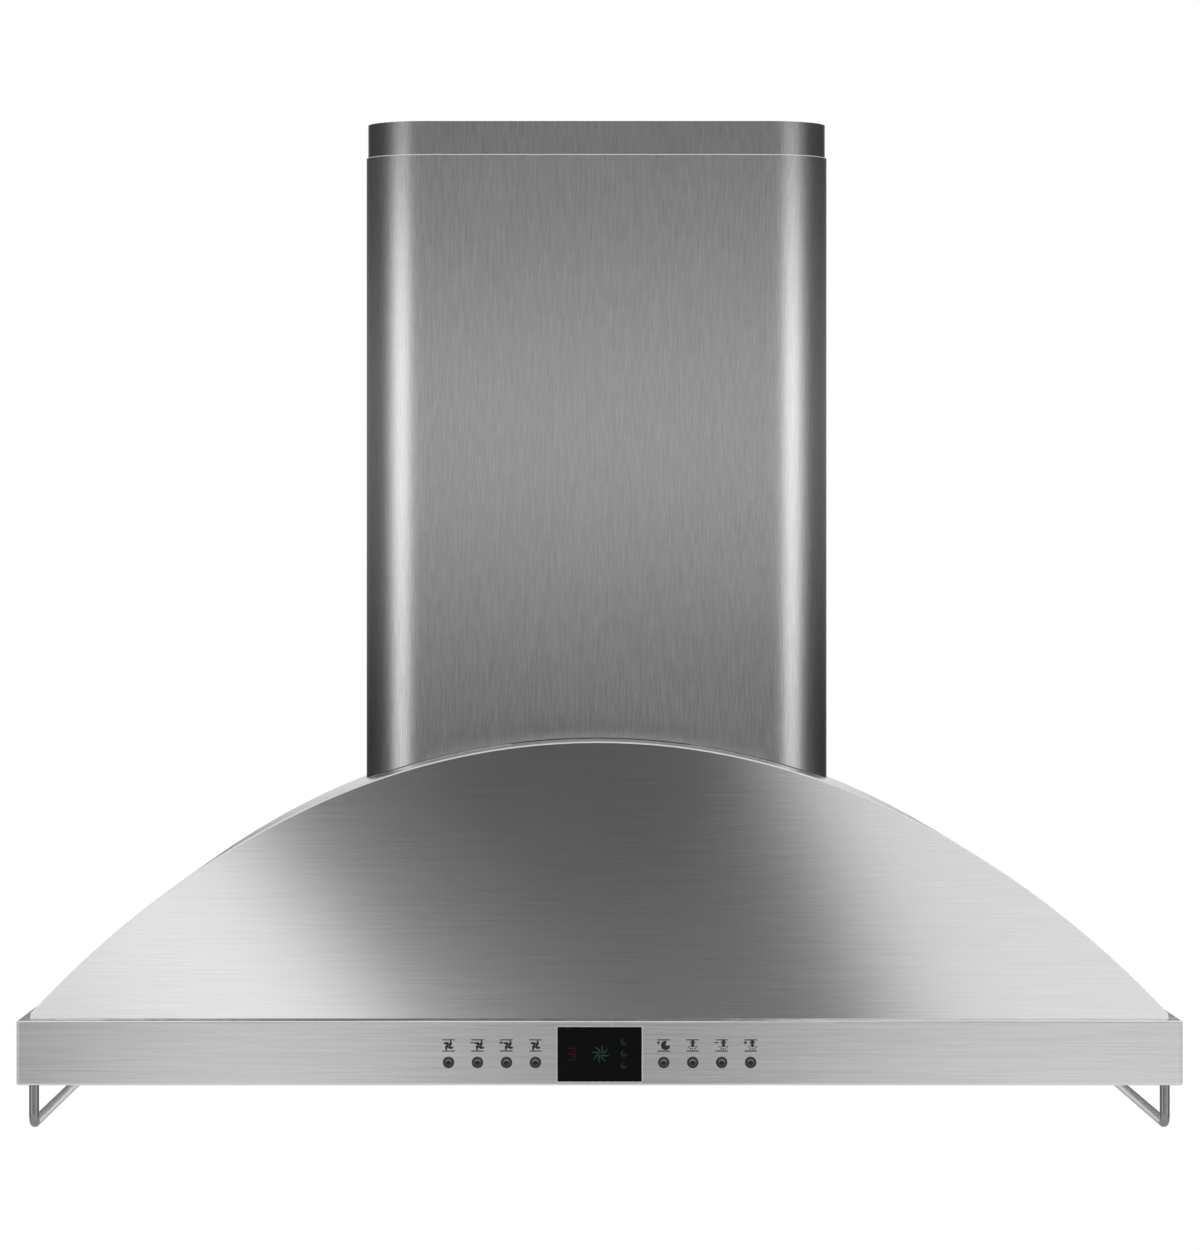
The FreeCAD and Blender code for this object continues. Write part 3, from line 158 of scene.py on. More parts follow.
# ---- shader helpers
class Tree:
    """Short way to add and join nodes in one tree."""

    def __init__(self, tree):
        self.tree = tree

    def add(self, kind, values=(), **settings):
        node = self.tree.nodes.new(kind)
        for key, value in settings.items():
            setattr(node, key, value)
        for key, value in dict(values).items():
            self.put(node, key, value)
        return node

    def put(self, node, key, value):
        """Joins a socket to an input, or sets the input to a plain value."""
        if isinstance(value, bpy.types.NodeSocket):
            self.feed(node, key, value)
        else:
            node.inputs[key].default_value = value

    def math(self, operation, a, b=0.0):
        return self.add("ShaderNodeMath", {0: a, 1: b}, operation=operation).outputs[0]

    def vector(self, operation, a, b):
        return self.add("ShaderNodeVectorMath", {0: a, 1: b}, operation=operation).outputs[0]

    def mix(self, factor, first, second):
        """Shader between two others."""
        return self.add("ShaderNodeMixShader", {0: factor, 1: first.outputs[0], 2: second.outputs[0]})

    def span(self, value, low, high, to_low=0.0, to_high=1.0):
        """Value taken from low..high to to_low..to_high, held at the ends."""
        node = self.add("ShaderNodeMapRange", {0: value, 1: low, 2: high, 3: to_low, 4: to_high},
                        interpolation_type="SMOOTHSTEP")
        return node.outputs[0]

    def spot(self):
        """The object's own coordinates."""
        return self.add("ShaderNodeTexCoord").outputs["Object"]

    def place(self):
        """The same coordinates, apart."""
        return self.add("ShaderNodeSeparateXYZ", {0: self.spot()}).outputs

    def noise(self, vector, scale, detail=2.0, roughness=0.5):
        node = self.add("ShaderNodeTexNoise", {"Vector": vector, "Scale": scale, "Detail": detail,
                                               "Roughness": roughness})
        return node.outputs

    def feed(self, node, socket, value):
        """Joins a value to an input of a node."""
        self.tree.links.new(value, node.inputs[socket])

    def product(self, first, *others):
        """All the given values multiplied."""
        for other in others:
            first = self.math("MULTIPLY", first, other)
        return first

    def total(self, first, *others):
        """All the given values added."""
        for other in others:
            first = self.math("ADD", first, other)
        return first

    def blend(self, factor, a, b):
        """Colour between a and b."""
        node = self.add("ShaderNodeMix", data_type="RGBA")
        for key, value in ((0, factor), (6, a), (7, b)):
            self.put(node, key, value)
        return node.outputs[2]


FLOAT, VECTOR = "NodeSocketFloat", "NodeSocketVector"


def shader_group(name, inputs, outputs):
    """Empty node group with the named sockets; returns its tree, entry and exit."""
    tree = bpy.data.node_groups.new(name, "ShaderNodeTree")
    for label, kind, value in inputs:
        socket = tree.interface.new_socket(label, in_out="INPUT", socket_type=kind)
        socket.default_value = value
    for label in outputs:
        tree.interface.new_socket(label, in_out="OUTPUT", socket_type=FLOAT)
    build = Tree(tree)
    return build, tree.nodes.new("NodeGroupInput").outputs, tree.nodes.new("NodeGroupOutput")


def grain_group():
    """Brushed streaks: noise drawn out along the grain, in three widths."""
    build, entry, leave = shader_group(
        "brushed_grain", [("Stretch", VECTOR, (1.0, 1.0, 1.0)), ("Patch Size", FLOAT, 4.0)],
        ["Streaks", "Bands", "Patches"])
    place = build.spot()
    along = build.vector("MULTIPLY", place, entry["Stretch"])
    build.feed(leave, "Streaks", build.noise(along, 1.0, 2.0, 0.6)["Fac"])
    build.feed(leave, "Bands", build.noise(along, 0.35, 3.0, 0.6)["Fac"])
    build.feed(leave, "Patches", build.noise(place, entry["Patch Size"])["Fac"])
    return build.tree


def spangle_group():
    """Zinc crystals: cells of slightly different grey with soft edges."""
    build, entry, leave = shader_group("zinc_spangle", [("Size", FLOAT, 120.0)], ["Cells", "Edges"])
    place = build.spot()
    warp = build.noise(place, entry["Size"])["Color"]
    moved = build.vector("ADD", place, build.vector("MULTIPLY", warp, (0.006, 0.006, 0.006)))
    cells = build.add("ShaderNodeTexVoronoi", {"Vector": moved, "Scale": entry["Size"]}, feature="F1")
    edge = build.add("ShaderNodeTexVoronoi", {"Vector": moved, "Scale": entry["Size"]},
                     feature="DISTANCE_TO_EDGE")
    grey = build.add("ShaderNodeSeparateColor", {0: cells.outputs["Color"]}).outputs[0]
    build.feed(leave, "Cells", grey)
    build.feed(leave, "Edges", build.span(edge.outputs["Distance"], 0.0, 0.12))
    return build.tree


def mould_group():
    """Fine pebbled surface of a moulding, with slow changes of gloss."""
    build, entry, leave = shader_group("moulded_surface", [("Size", FLOAT, 900.0)], ["Pebble", "Cloud"])
    place = build.spot()
    build.feed(leave, "Pebble", build.noise(place, entry["Size"], 3.0)["Fac"])
    build.feed(leave, "Cloud", build.noise(place, 14.0, 3.0)["Fac"])
    return build.tree


def dust_group():
    """Dust that settles on what faces up, broken up by noise."""
    build, entry, leave = shader_group("settled_dust", [("Amount", FLOAT, 0.3)], ["Dust"])
    facing = build.add("ShaderNodeSeparateXYZ", {0: build.add("ShaderNodeNewGeometry").outputs["Normal"]})
    up = build.span(facing.outputs["Z"], 0.35, 1.0)
    broken = build.span(build.noise(build.spot(), 60.0, 5.0)["Fac"], 0.35, 0.75)
    build.feed(leave, "Dust", build.product(up, broken, entry["Amount"]))
    return build.tree


SHADER_GROUPS = {"brushed_grain": grain_group, "zinc_spangle": spangle_group,
                 "moulded_surface": mould_group, "settled_dust": dust_group}


def place_group(build, name, values=()):
    """A shared effect in a material, made the first time it is asked for."""
    tree = bpy.data.node_groups.get(name) or SHADER_GROUPS[name]()
    node = build.add("ShaderNodeGroup", node_tree=tree)
    for key, value in dict(values).items():
        node.inputs[key].default_value = value
    return node.outputs


def tree_material(name, kind, plain):
    """Material whose tree is one shader and its output; uniform values are set on the shader."""
    material = bpy.data.materials.new(name)
    material.use_nodes = True
    material.node_tree.nodes.clear()
    build = Tree(material.node_tree)
    shader = build.add(kind, plain)
    leave = build.add("ShaderNodeOutputMaterial")
    build.feed(leave, 0, shader.outputs[0])
    return material, build, shader, leave


def new_material(name, plain):
    """Material with a Principled shader."""
    material, build, shader, _ = tree_material(name, "ShaderNodeBsdfPrincipled", plain)
    material.diffuse_color = (0.6, 0.6, 0.6, 1.0)
    return material, build, shader


def scaled(value, amount=1.0):
    return (value[0] * amount, value[1] * amount, value[2] * amount, 1.0)


def pebbled(build, size):
    """The moulded surface, with pebbles of the given fineness."""
    return place_group(build, "moulded_surface", {"Size": size})


def tint(build, value, low, high, base, dark, pale):
    """The base colour, from dark to pale times itself as value goes from low to high."""
    return build.blend(build.span(value, low, high), scaled(base, dark), scaled(base, pale))


def brushed(name, base, roughness, grain, stretch, across, spread=0.3, dust=0.0, painted_edge_highlight=None):
    """Brushed steel. stretch sets the streaks' direction. across is the way the highlights spread: a
    vector, or the axis that the grain stays square to. The last argument is a run and an offset, and
    paints a pale highlight along a sheet's edge where run * z - y + offset is over zero or, with no run,
    where z + offset is."""
    material, build, shader = new_material(name, {"Metallic": 1.0, "Anisotropic": spread})
    effect = place_group(build, "brushed_grain", {"Stretch": stretch, "Patch Size": 5.0})
    tone = tint(build, effect["Streaks"], 0.32, 0.68, base, 1.0 - 0.26 * grain, 1.0 + 0.26 * grain)
    band = tint(build, effect["Bands"], 0.3, 0.7, base, 1.0 - 0.05 * grain, 1.0 + 0.05 * grain)
    mixed = build.blend(0.5, tone, band)
    if dust:
        mixed = dusty(build, dust, mixed, SHEET_DUST)
    if painted_edge_highlight:
        run, offset = painted_edge_highlight
        place = build.place()
        beyond = place["Z"]
        if run:
            beyond = build.math("SUBTRACT", build.product(beyond, run), place["Y"])
        # painted highlight: the strip along the sheet's edge turns pale grey and less metallic
        edge = build.span(build.total(beyond, offset), 0.0, 0.0002)
        mixed = build.blend(edge, mixed, EDGE_HIGHLIGHT)
        build.feed(shader, "Metallic", build.math("SUBTRACT", 1.0, build.product(edge, 0.8)))
    rough = build.span(effect["Streaks"], 0.2, 0.8, roughness * 0.96, roughness * 1.05)
    patches = build.span(effect["Patches"], 0.3, 0.7, -0.006, 0.010)
    surface(build, shader, mixed, build.total(rough, patches))
    bumped(build, shader, effect["Streaks"], 0.02 * grain, 0.00003)
    if isinstance(across, str):
        normal = build.add("ShaderNodeNewGeometry").outputs["Normal"]
        axis = [float(letter == across) for letter in "XYZ"]
        across = build.vector("CROSS_PRODUCT", normal, axis)
    else:
        across = build.add("ShaderNodeCombineXYZ", {0: across[0], 1: across[1], 2: across[2]}).outputs[0]
    build.feed(shader, "Tangent", across)
    return material


def surface(build, shader, tone, rough):
    """Colour and roughness of a material."""
    build.feed(shader, "Base Color", tone)
    build.feed(shader, "Roughness", rough)


def dusty(build, amount, tone, dust):
    """The tone with dust on what faces up."""
    return build.blend(place_group(build, "settled_dust", {"Amount": amount})["Dust"], tone, dust)


def bumped(build, shader, height, strength, distance):
    """Fine relief on a material."""
    bump = build.add("ShaderNodeBump", {"Strength": strength, "Distance": distance, "Height": height})
    build.feed(shader, "Normal", bump.outputs[0])


def polished(name, base, roughness=0.09, dust=0.0):
    """Bright plated metal with faint rub marks."""
    material, build, shader = new_material(name, {"Metallic": 1.0})
    effect = pebbled(build, 260.0)
    tone = tint(build, effect["Cloud"], 0.3, 0.7, base, 0.94, 1.0)
    if dust:
        tone = dusty(build, dust, tone, METAL_DUST)
    surface(build, shader, tone, build.span(effect["Pebble"], 0.35, 0.7, roughness * 0.8, roughness * 1.5))
    return material


def zinc(name, base, dust=0.15):
    """Zinc coated sheet with crystals."""
    material, build, shader = new_material(name, {"Metallic": 0.9})
    effect = place_group(build, "zinc_spangle", {"Size": 110.0})
    tone = tint(build, effect["Cells"], 0.0, 1.0, base, 0.86, 1.10)
    rough = build.span(effect["Cells"], 0.0, 1.0, 0.30, 0.44)
    surface(build, shader, dusty(build, dust, tone, METAL_DUST), rough)
    bumped(build, shader, effect["Edges"], 0.15, 0.00005)
    return material


def moulded(name, base, roughness=0.5, pebble=900.0, dust=0.0, depth=0.00006):
    """Moulded plastic with a pebbled surface."""
    material, build, shader = new_material(name, {"Specular IOR Level": 0.5})
    effect = pebbled(build, pebble)
    tone = tint(build, effect["Cloud"], 0.3, 0.7, base, 0.88, 1.12)
    if dust:
        tone = dusty(build, dust, tone, PLASTIC_DUST)
    surface(build, shader, tone, build.span(effect["Cloud"], 0.2, 0.8, roughness * 0.9, roughness * 1.15))
    bumped(build, shader, effect["Pebble"], 0.25, depth)
    return material


def black_glass(name):
    """Back-printed glass: deep black under a clear coat with faint smears."""
    material, build, shader = new_material(name, {"Specular IOR Level": 0.10})
    effect = pebbled(build, 90.0)
    tone = build.blend(build.span(effect["Cloud"], 0.3, 0.7), (0.0016, 0.0017, 0.0019, 1.0),
                       (0.0026, 0.0027, 0.0030, 1.0))
    surface(build, shader, tone, build.span(effect["Cloud"], 0.4, 0.8, 0.05, 0.12))
    return material


def clear_glass(name, base, roughness):
    """Lamp glass, lightly figured on the inside."""
    material, build, shader = new_material(name, {"Metallic": 0.0, "Transmission Weight": 0.85, "IOR": 1.46})
    effect = pebbled(build, 700.0)
    tone = tint(build, effect["Cloud"], 0.3, 0.7, base, 0.96, 1.0)
    surface(build, shader, tone, build.span(effect["Pebble"], 0.3, 0.7, roughness * 0.8, roughness * 1.2))
    bumped(build, shader, effect["Pebble"], 0.2, 0.00012)
    return material


def ink(name, base, gloss=0.3):
    """Printed ink, or a symbol that shows faintly through the glass."""
    material, build, shader = new_material(name, {"Roughness": 0.45, "Specular IOR Level": gloss})
    effect = pebbled(build, 2600.0)
    tone = tint(build, effect["Pebble"], 0.35, 0.65, base, 0.8, 1.15)
    build.feed(shader, "Base Color", tone)
    return material


def button_cap(name, base):
    """Dark polished cap: a grey band round a darker middle, with a painted highlight curving over its upper
    side.
    """
    material, build, shader = new_material(name, {"Metallic": 0.6})
    low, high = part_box(BUTTONS[0])
    first, follow = sorted(middle_of(n).x for n in BUTTONS if middle_of(n).x > 0)[:2]
    pitch = follow - first
    place = build.place()
    along = build.math("SUBTRACT", build.math("ABSOLUTE", place["X"]), first - pitch / 2)
    along = build.math("SUBTRACT", build.math("MODULO", along, pitch), pitch / 2)
    up = build.math("SUBTRACT", place["Z"], (low.z + high.z) / 2)
    squares = build.total(build.product(along, along), build.product(up, up))
    reach = build.math("SQRT", squares)
    outer = (high.z - low.z) / 2
    middle = build.span(reach, outer * 0.56, outer * 0.46)
    # painted highlight: a pale grey curve over the upper side of the cap
    painted_highlight = build.product(build.span(reach, outer * 0.40, outer * 0.47),
                        build.span(reach, outer * 0.62, outer * 0.55),
                        build.span(up, outer * 0.05, outer * 0.25))
    tone = build.blend(middle, scaled(base), scaled(base, 0.25))
    tone = build.blend(painted_highlight, tone, (0.30, 0.30, 0.31, 1.0))
    effect = pebbled(build, 900.0)
    tone = build.blend(build.product(effect["Cloud"], 0.25), tone, scaled(base, 0.6))
    surface(build, shader, tone, build.span(effect["Pebble"], 0.3, 0.7, 0.28, 0.38))
    return material


def middle_of(name):
    """Middle of a node's box."""
    low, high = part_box(name)
    return (low + high) / 2


def dress(material, *names):
    """Gives carried-over nodes their finish."""
    for name in names:
        mesh = NODES[name].data
        mesh.materials.clear()
        mesh.materials.append(material)


# ---- mesh helpers
def piece(name, shape, material, body):
    """Object from a mesh or a curve, with its finish and body."""
    thing = bpy.data.objects.new(name, shape)
    bpy.context.scene.collection.objects.link(thing)
    shape.materials.append(material)
    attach(thing, body)


def mesh_from(form, name, smooth=False):
    bmesh.ops.recalc_face_normals(form, faces=form.faces[:])
    mesh = bpy.data.meshes.new(name)
    form.to_mesh(mesh)
    form.free()
    for face in mesh.polygons:
        face.use_smooth = smooth
    return mesh


def flat_marks(outlines, y, name):
    """Thin closed plates from outlines in X and Z, standing off the plane y towards the front."""
    form = bmesh.new()
    for points in outlines:
        rear = [form.verts.new((x, y, z)) for x, z in points]
        fore = [form.verts.new((x, y - MARK_DEPTH, z)) for x, z in points]
        form.faces.new(rear)
        form.faces.new(fore[::-1])
        count = len(points)
        for k in range(count):
            follow = (k + 1) % count
            form.faces.new((rear[k], fore[k], fore[follow], rear[follow]))
    return mesh_from(form, name)


def bar(x, z, wide, tall):
    return [(x - wide / 2, z - tall / 2), (x + wide / 2, z - tall / 2),
            (x + wide / 2, z + tall / 2), (x - wide / 2, z + tall / 2)]


def round_about(x, z, radius, angle):
    """Point at an angle in degrees round x and z."""
    return x + radius * math.cos(math.radians(angle)), z + radius * math.sin(math.radians(angle))


def disc(x, z, radius, count=20, start=0.0, turn=360.0):
    """Outline of a disc, or of a pie slice that turns from start."""
    steps = count if turn < 360.0 else count - 1
    points = [round_about(x, z, radius, start + turn * k / count) for k in range(steps + 1)]
    return points if turn >= 360.0 else points + [(x, z)]


def petal(x, z, angle, inner, outer, width, sweep):
    """One curved fan blade, thin at the hub and broad towards its tip."""
    steps = 7
    lead, trail = [], []
    for k in range(steps + 1):
        t = k / steps
        radius = inner + (outer - inner) * t
        middle = sweep * t
        half = math.degrees(width * (0.25 + 0.75 * math.sin(math.pi * min(1.0, 0.15 + 0.8 * t))) / radius) / 2
        lead.append(round_about(x, z, radius, angle + middle - half))
        trail.append(round_about(x, z, radius, angle + middle + half))
    return lead + trail[::-1]


def fan_mark(x, z, radius, blades, width, sweep):
    inner = radius * 0.16
    return [petal(x, z, 360.0 * k / blades + 12.0, inner, radius, width, sweep) for k in range(blades)]


def lamp_mark(x, z, size):
    """Hanging lamp: a small shade with a bulb and five rays."""
    shade = [(x - size * 0.22, z + size), (x + size * 0.22, z + size),
             (x + size * 0.62, z + size * 0.38), (x - size * 0.62, z + size * 0.38)]
    bulb = disc(x, z + size * 0.02, size * 0.36, 16)
    rays = []
    for angle in (-160.0, -125.0, -90.0, -55.0, -20.0):
        a = math.radians(angle)
        side = Vector((-math.sin(a), math.cos(a))) * size * 0.10
        near, far = (Vector(round_about(x, z, size * reach, angle)) for reach in (0.56, 0.98))
        rays.append([tuple(corner) for corner in (near - side, far - side, far + side, near + side)])
    return [shade, bulb] + rays


def sign_mark(kind, x, z, size):
    """A plus or a minus."""
    if kind == "minus":
        return [bar(x, z, size, size * 0.26)]
    far, near = size / 2, size * 0.13
    corners = [(-far, -near), (-near, -near), (-near, -far), (near, -far), (near, -near), (far, -near),
               (far, near), (near, near), (near, far), (-near, far), (-near, near), (-far, near)]
    return [[(x + aside, z + up) for aside, up in corners]]


def turned_mesh(profile, centre, axis, name, count=32):
    """Closed shape of revolution: profile holds radius and height pairs along axis."""
    form = bmesh.new()
    direction = Vector(axis).normalized()
    side = direction.orthogonal().normalized()
    other = direction.cross(side)
    rings = []
    for radius, height in profile:
        base = Vector(centre) + direction * height
        if radius < 1e-7:
            rings.append([form.verts.new(base)])
        else:
            rings.append([form.verts.new(base + (side * math.cos(2 * math.pi * k / count)
                                                 + other * math.sin(2 * math.pi * k / count)) * radius)
                          for k in range(count)])
    for low, high in zip(rings, rings[1:]):
        for k in range(count):
            follow = (k + 1) % count
            corners = [low[k % len(low)], low[follow % len(low)],
                       high[follow % len(high)], high[k % len(high)]]
            unique = list(dict.fromkeys(corners))
            if len(unique) > 2:
                form.faces.new(unique)
    return mesh_from(form, name, True)


def small_screw(kind, label, radius, place, way):
    """Pan head of a small screw that sits on a sheet."""
    profile = [(0.0, 0.0), (radius, 0.0), (radius, 0.0008), (radius - 0.0008, radius / 2 + 0.0002),
               (0.0, radius / 2 + 0.0005)]
    mesh = turned_mesh(profile, place, way, kind, 16)
    piece(kind + "_" + label, mesh, bpy.data.materials["fixing_bright"], "hood")


def stepped(start, steps):
    """Points given by their steps from one place."""
    return [tuple(a + b for a, b in zip(start, step)) for step in steps]


def wire_curve(name, points, radius, material, body):
    """Sheathed lead through the given points."""
    curve = bpy.data.curves.new(name, "CURVE")
    curve.dimensions = "3D"
    curve.bevel_depth = radius
    curve.bevel_resolution = 4
    curve.use_fill_caps = True
    line = curve.splines.new("NURBS")
    line.points.add(len(points) - 1)
    for point, place in zip(line.points, points):
        point.co = (*place, 1.0)
    line.order_u = 3
    line.use_endpoint_u = True
    piece(name, curve, material, body)


# ---- operators
class HOOD_OT_stage(bpy.types.Operator):
    """Sets up the camera, the pale floor and the soft light."""
    bl_idname = "hood.stage"
    bl_label = "Stage"

    def execute(self, context):
        values = context.scene.hood_stage
        scene = context.scene
        scene.view_settings.view_transform = "Standard"
        lens = bpy.data.cameras.new("camera")
        lens.sensor_width = FILM_WIDTH
        lens.lens = values.focal
        lens.shift_x = values.shift_x
        lens.shift_y = values.shift_y
        lens.clip_end = 60.0
        camera = bpy.data.objects.new("camera", lens)
        camera.location = (values.camera_x, values.camera_y, values.camera_z)
        camera.rotation_euler = (math.pi / 2, 0.0, 0.0)
        scene.collection.objects.link(camera)
        scene.camera = camera
        self.world(scene, values)
        self.floor(scene, values)
        self.cards(scene)
        self.lamps(scene, values)
        return {"FINISHED"}

    def world(self, scene, values):
        """Even light, with a white background for what looks straight at it."""
        world = bpy.data.worlds.new("studio")
        world.use_nodes = True
        world.node_tree.nodes.clear()
        build = Tree(world.node_tree)
        path = build.add("ShaderNodeLightPath").outputs
        seen = build.math("MAXIMUM", path["Is Camera Ray"], path["Is Transmission Ray"])
        seen = build.math("MAXIMUM", seen, path["Is Glossy Ray"])
        fill = build.add("ShaderNodeBackground", {"Color": WHITE, "Strength": values.fill_level})
        white = build.add("ShaderNodeBackground", {"Color": WHITE, "Strength": 1.0})
        mix = build.mix(seen, fill, white)
        leave = build.add("ShaderNodeOutputWorld")
        build.feed(leave, 0, mix.outputs[0])
        scene.world = world

    def floor(self, scene, values):
        """Pale floor that is white to the camera, keeps a soft shadow and is open from below."""
        mesh = self.level_sheet("floor", 14.0, -14.0, 14.0, 0.0)
        floor = bpy.data.objects.new("floor", mesh)
        floor.location.z = -values.floor_drop
        material, build, shader, leave = tree_material("pale_floor", "ShaderNodeBsdfPrincipled",
                                                       {"Roughness": 0.8})
        effect = pebbled(build, 30.0)
        tone = build.blend(effect["Cloud"], (0.86, 0.86, 0.86, 1.0), (0.90, 0.90, 0.90, 1.0))
        build.feed(shader, "Base Color", tone)
        path = build.add("ShaderNodeLightPath").outputs
        seen = build.math("MAXIMUM", path["Is Camera Ray"], path["Is Transmission Ray"])
        glow = build.add("ShaderNodeEmission", {"Color": WHITE, "Strength": FLOOR_GLOW})
        mix = build.mix(build.product(seen, 0.9), shader, glow)
        clear = build.add("ShaderNodeBsdfTransparent")
        behind = build.add("ShaderNodeNewGeometry").outputs["Backfacing"]
        build.feed(leave, 0, build.mix(behind, mix, clear).outputs[0])
        mesh.materials.append(material)
        scene.collection.objects.link(floor)

    def level_sheet(self, name, half, front, rear, height):
        """One level face, as wide as twice half."""
        mesh = bpy.data.meshes.new(name)
        mesh.from_pydata([(-half, front, height), (half, front, height), (half, rear, height),
                          (-half, rear, height)], [], [(0, 1, 2, 3)])
        return mesh

    def cards(self, scene):
        """Ring of grey walls with bright strips, and a ceiling that is dark in the middle."""
        self.wall_card(scene)
        material, build, glow, _ = tree_material("card_ceiling", "ShaderNodeEmission", {"Color": WHITE})
        place = build.place()
        x, y = place["X"], place["Y"]
        left = build.total(x, build.product(y, 0.73))
        right = build.total(x, build.product(y, 0.40))
        level = build.total(build.span(left, -0.30, -0.50, 0.0, 0.10),
                            build.span(left, -0.51, -0.62, 0.0, 1.12),
                            build.span(right, 0.045, 0.155, 0.0, 1.0),
                            build.span(y, -0.30, -0.55, 0.12, 0.21))
        level = build.product(level, build.span(left, -0.72, -0.92, 1.0, 0.75))
        build.feed(glow, "Strength", level)
        self.reflected_only(scene, self.level_sheet("card_ceiling", 2.5, -2.8, 1.6, 1.25), material)

    def wall_card(self, scene):
        """Ring round the hood: its emission depends on the angle from straight ahead and the height."""
        material, build, glow, _ = tree_material("card_wall", "ShaderNodeEmission", {"Color": WHITE})
        place = build.place()
        ahead = build.product(place["Y"], -1.0)
        turn = build.product(build.math("ARCTAN2", place["X"], ahead), 180.0 / math.pi)
        aside = build.math("ABSOLUTE", turn)
        height = place["Z"]
        rise = build.span(height, 0.12, 0.62, 0.03, 0.66)
        fall = build.span(height, 0.62, 0.98, 0.0, 0.49)
        front = build.product(build.math("SUBTRACT", rise, fall), build.span(aside, 74.0, 96.0, 1.0, 0.30))
        strip = build.product(build.span(aside, 30.0, 46.0), build.span(aside, 78.0, 60.0),
                              build.span(height, 0.99, 0.84), build.span(height, 0.1, 0.6, 0.95, 1.25))
        left_peak = build.product(build.span(turn, -1.0, -8.0), build.span(turn, -15.5, -11.0))
        right_peak = build.product(build.span(turn, 2.0, 11.0), build.span(turn, 30.0, 14.0))
        peaks = build.product(build.total(left_peak, right_peak), 0.85)
        foot = build.product(build.span(height, 0.12, -0.10), build.total(peaks, 0.37))
        level = build.total(front, strip, foot, build.span(aside, 145.0, 165.0, 0.0, 0.2))
        build.feed(glow, "Strength", level)
        radius, count, end = 2.6, 84, math.radians(168.0)
        form = bmesh.new()
        rows = []
        for k in range(count + 1):
            a = end * (2.0 * k / count - 1.0)
            x, y = radius * math.sin(a), -radius * math.cos(a)
            rows.append((form.verts.new((x, y, -1.0)), form.verts.new((x, y, 1.6))))
        for (low_a, high_a), (low_b, high_b) in zip(rows, rows[1:]):
            form.faces.new((low_a, low_b, high_b, high_a))
        ring = self.reflected_only(scene, mesh_from(form, "card_wall"), material)
        ring.location.y = -0.3

    def reflected_only(self, scene, mesh, material):
        """Studio card that only shows as a reflection in metal and glass."""
        mesh.materials.append(material)
        card = bpy.data.objects.new(mesh.name, mesh)
        for way in ("camera", "diffuse", "shadow", "transmission", "volume_scatter"):
            setattr(card, "visible_" + way, False)
        scene.collection.objects.link(card)
        return card

    def lamps(self, scene, values):
        """Two large soft lamps, high on both sides."""
        for side, name in ((-1, "lamp_left"), (1, "lamp_right")):
            light = bpy.data.lights.new(name, "AREA")
            light.shape = "SQUARE"
            light.size = LAMP_SIZE
            light.energy = values.key_power
            lamp = bpy.data.objects.new(name, light)
            lamp.location = (side * LAMP_PLACE[0], LAMP_PLACE[1], LAMP_PLACE[2])
            aim = LAMP_AIM - lamp.location
            lamp.rotation_euler = aim.to_track_quat("-Z", "Y").to_euler()
            lamp.visible_glossy = False
            scene.collection.objects.link(lamp)


class HOOD_OT_shell(bpy.types.Operator):
    """Finishes the rim, the canopy and the duct covers in brushed steel."""
    bl_idname = "hood.shell"
    bl_label = "Brushed shell"

    def execute(self, context):
        values = context.scene.hood_shell
        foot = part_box("canopy_front")[0]
        # painted highlight: a pale line on the arch's front edge, ahead of the front panel, and on the lower
        # cover's top edge
        front = (values.lean, foot.y - values.lean * foot.z + 0.0004)
        top = (0.0, 0.0007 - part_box("lower_duct_cover")[1].z)
        around = (14.0, 14.0, GRAIN_FINE)
        level = (GRAIN_LONG, GRAIN_FINE, GRAIN_FINE)
        along_arch = (GRAIN_FINE, GRAIN_LONG, GRAIN_FINE)
        upright = (1350.0, 1350.0, 55.0)
        darker = scaled(values.cover_colour, 0.82)
        sheets = (
            ("rim", "steel_rim", values.rim_colour, 1.0, 0.8, around, (0.0, 0.0, 1.0), 0.7, None),
            ("canopy_front", "steel_panel", values.panel_colour, 0.75, 0.6, level, UP_THE_PANEL, 0.3, None),
            ("canopy_arch", "steel_arch", values.arch_colour, 1.0, 1.0, along_arch, "Y", 0.3, front),
            ("lower_duct_cover", "steel_cover", values.cover_colour, 1.0, 1.0, upright, "Z", 0.7, top),
            ("upper_duct_cover", "steel_cover_upper", darker, 0.9, 1.0, upright, "Z", 0.3, None))
        # the last column places each sheet's painted edge highlight
        for node, name, base, rough, grain, stretch, across, spread, painted_edge_highlight in sheets:
            steel = brushed(name, base, values.roughness * rough, values.grain * grain, stretch, across,
                            spread, painted_edge_highlight=painted_edge_highlight)
            dress(steel, node)
        return {"FINISHED"}


class HOOD_OT_rails(bpy.types.Operator):
    """Polishes the utensil rails and dresses their nuts and the screws."""
    bl_idname = "hood.rails"
    bl_label = "Utensil rails"

    def execute(self, context):
        dress(polished("rail_bright", (0.26, 0.26, 0.27), 0.16), "rail_left", "rail_right")
        dress(polished("fixing_bright", (0.56, 0.55, 0.52), 0.28, 0.3), "rail_nuts", "screws", "motor_shaft",
              "damper_rod")
        return {"FINISHED"}


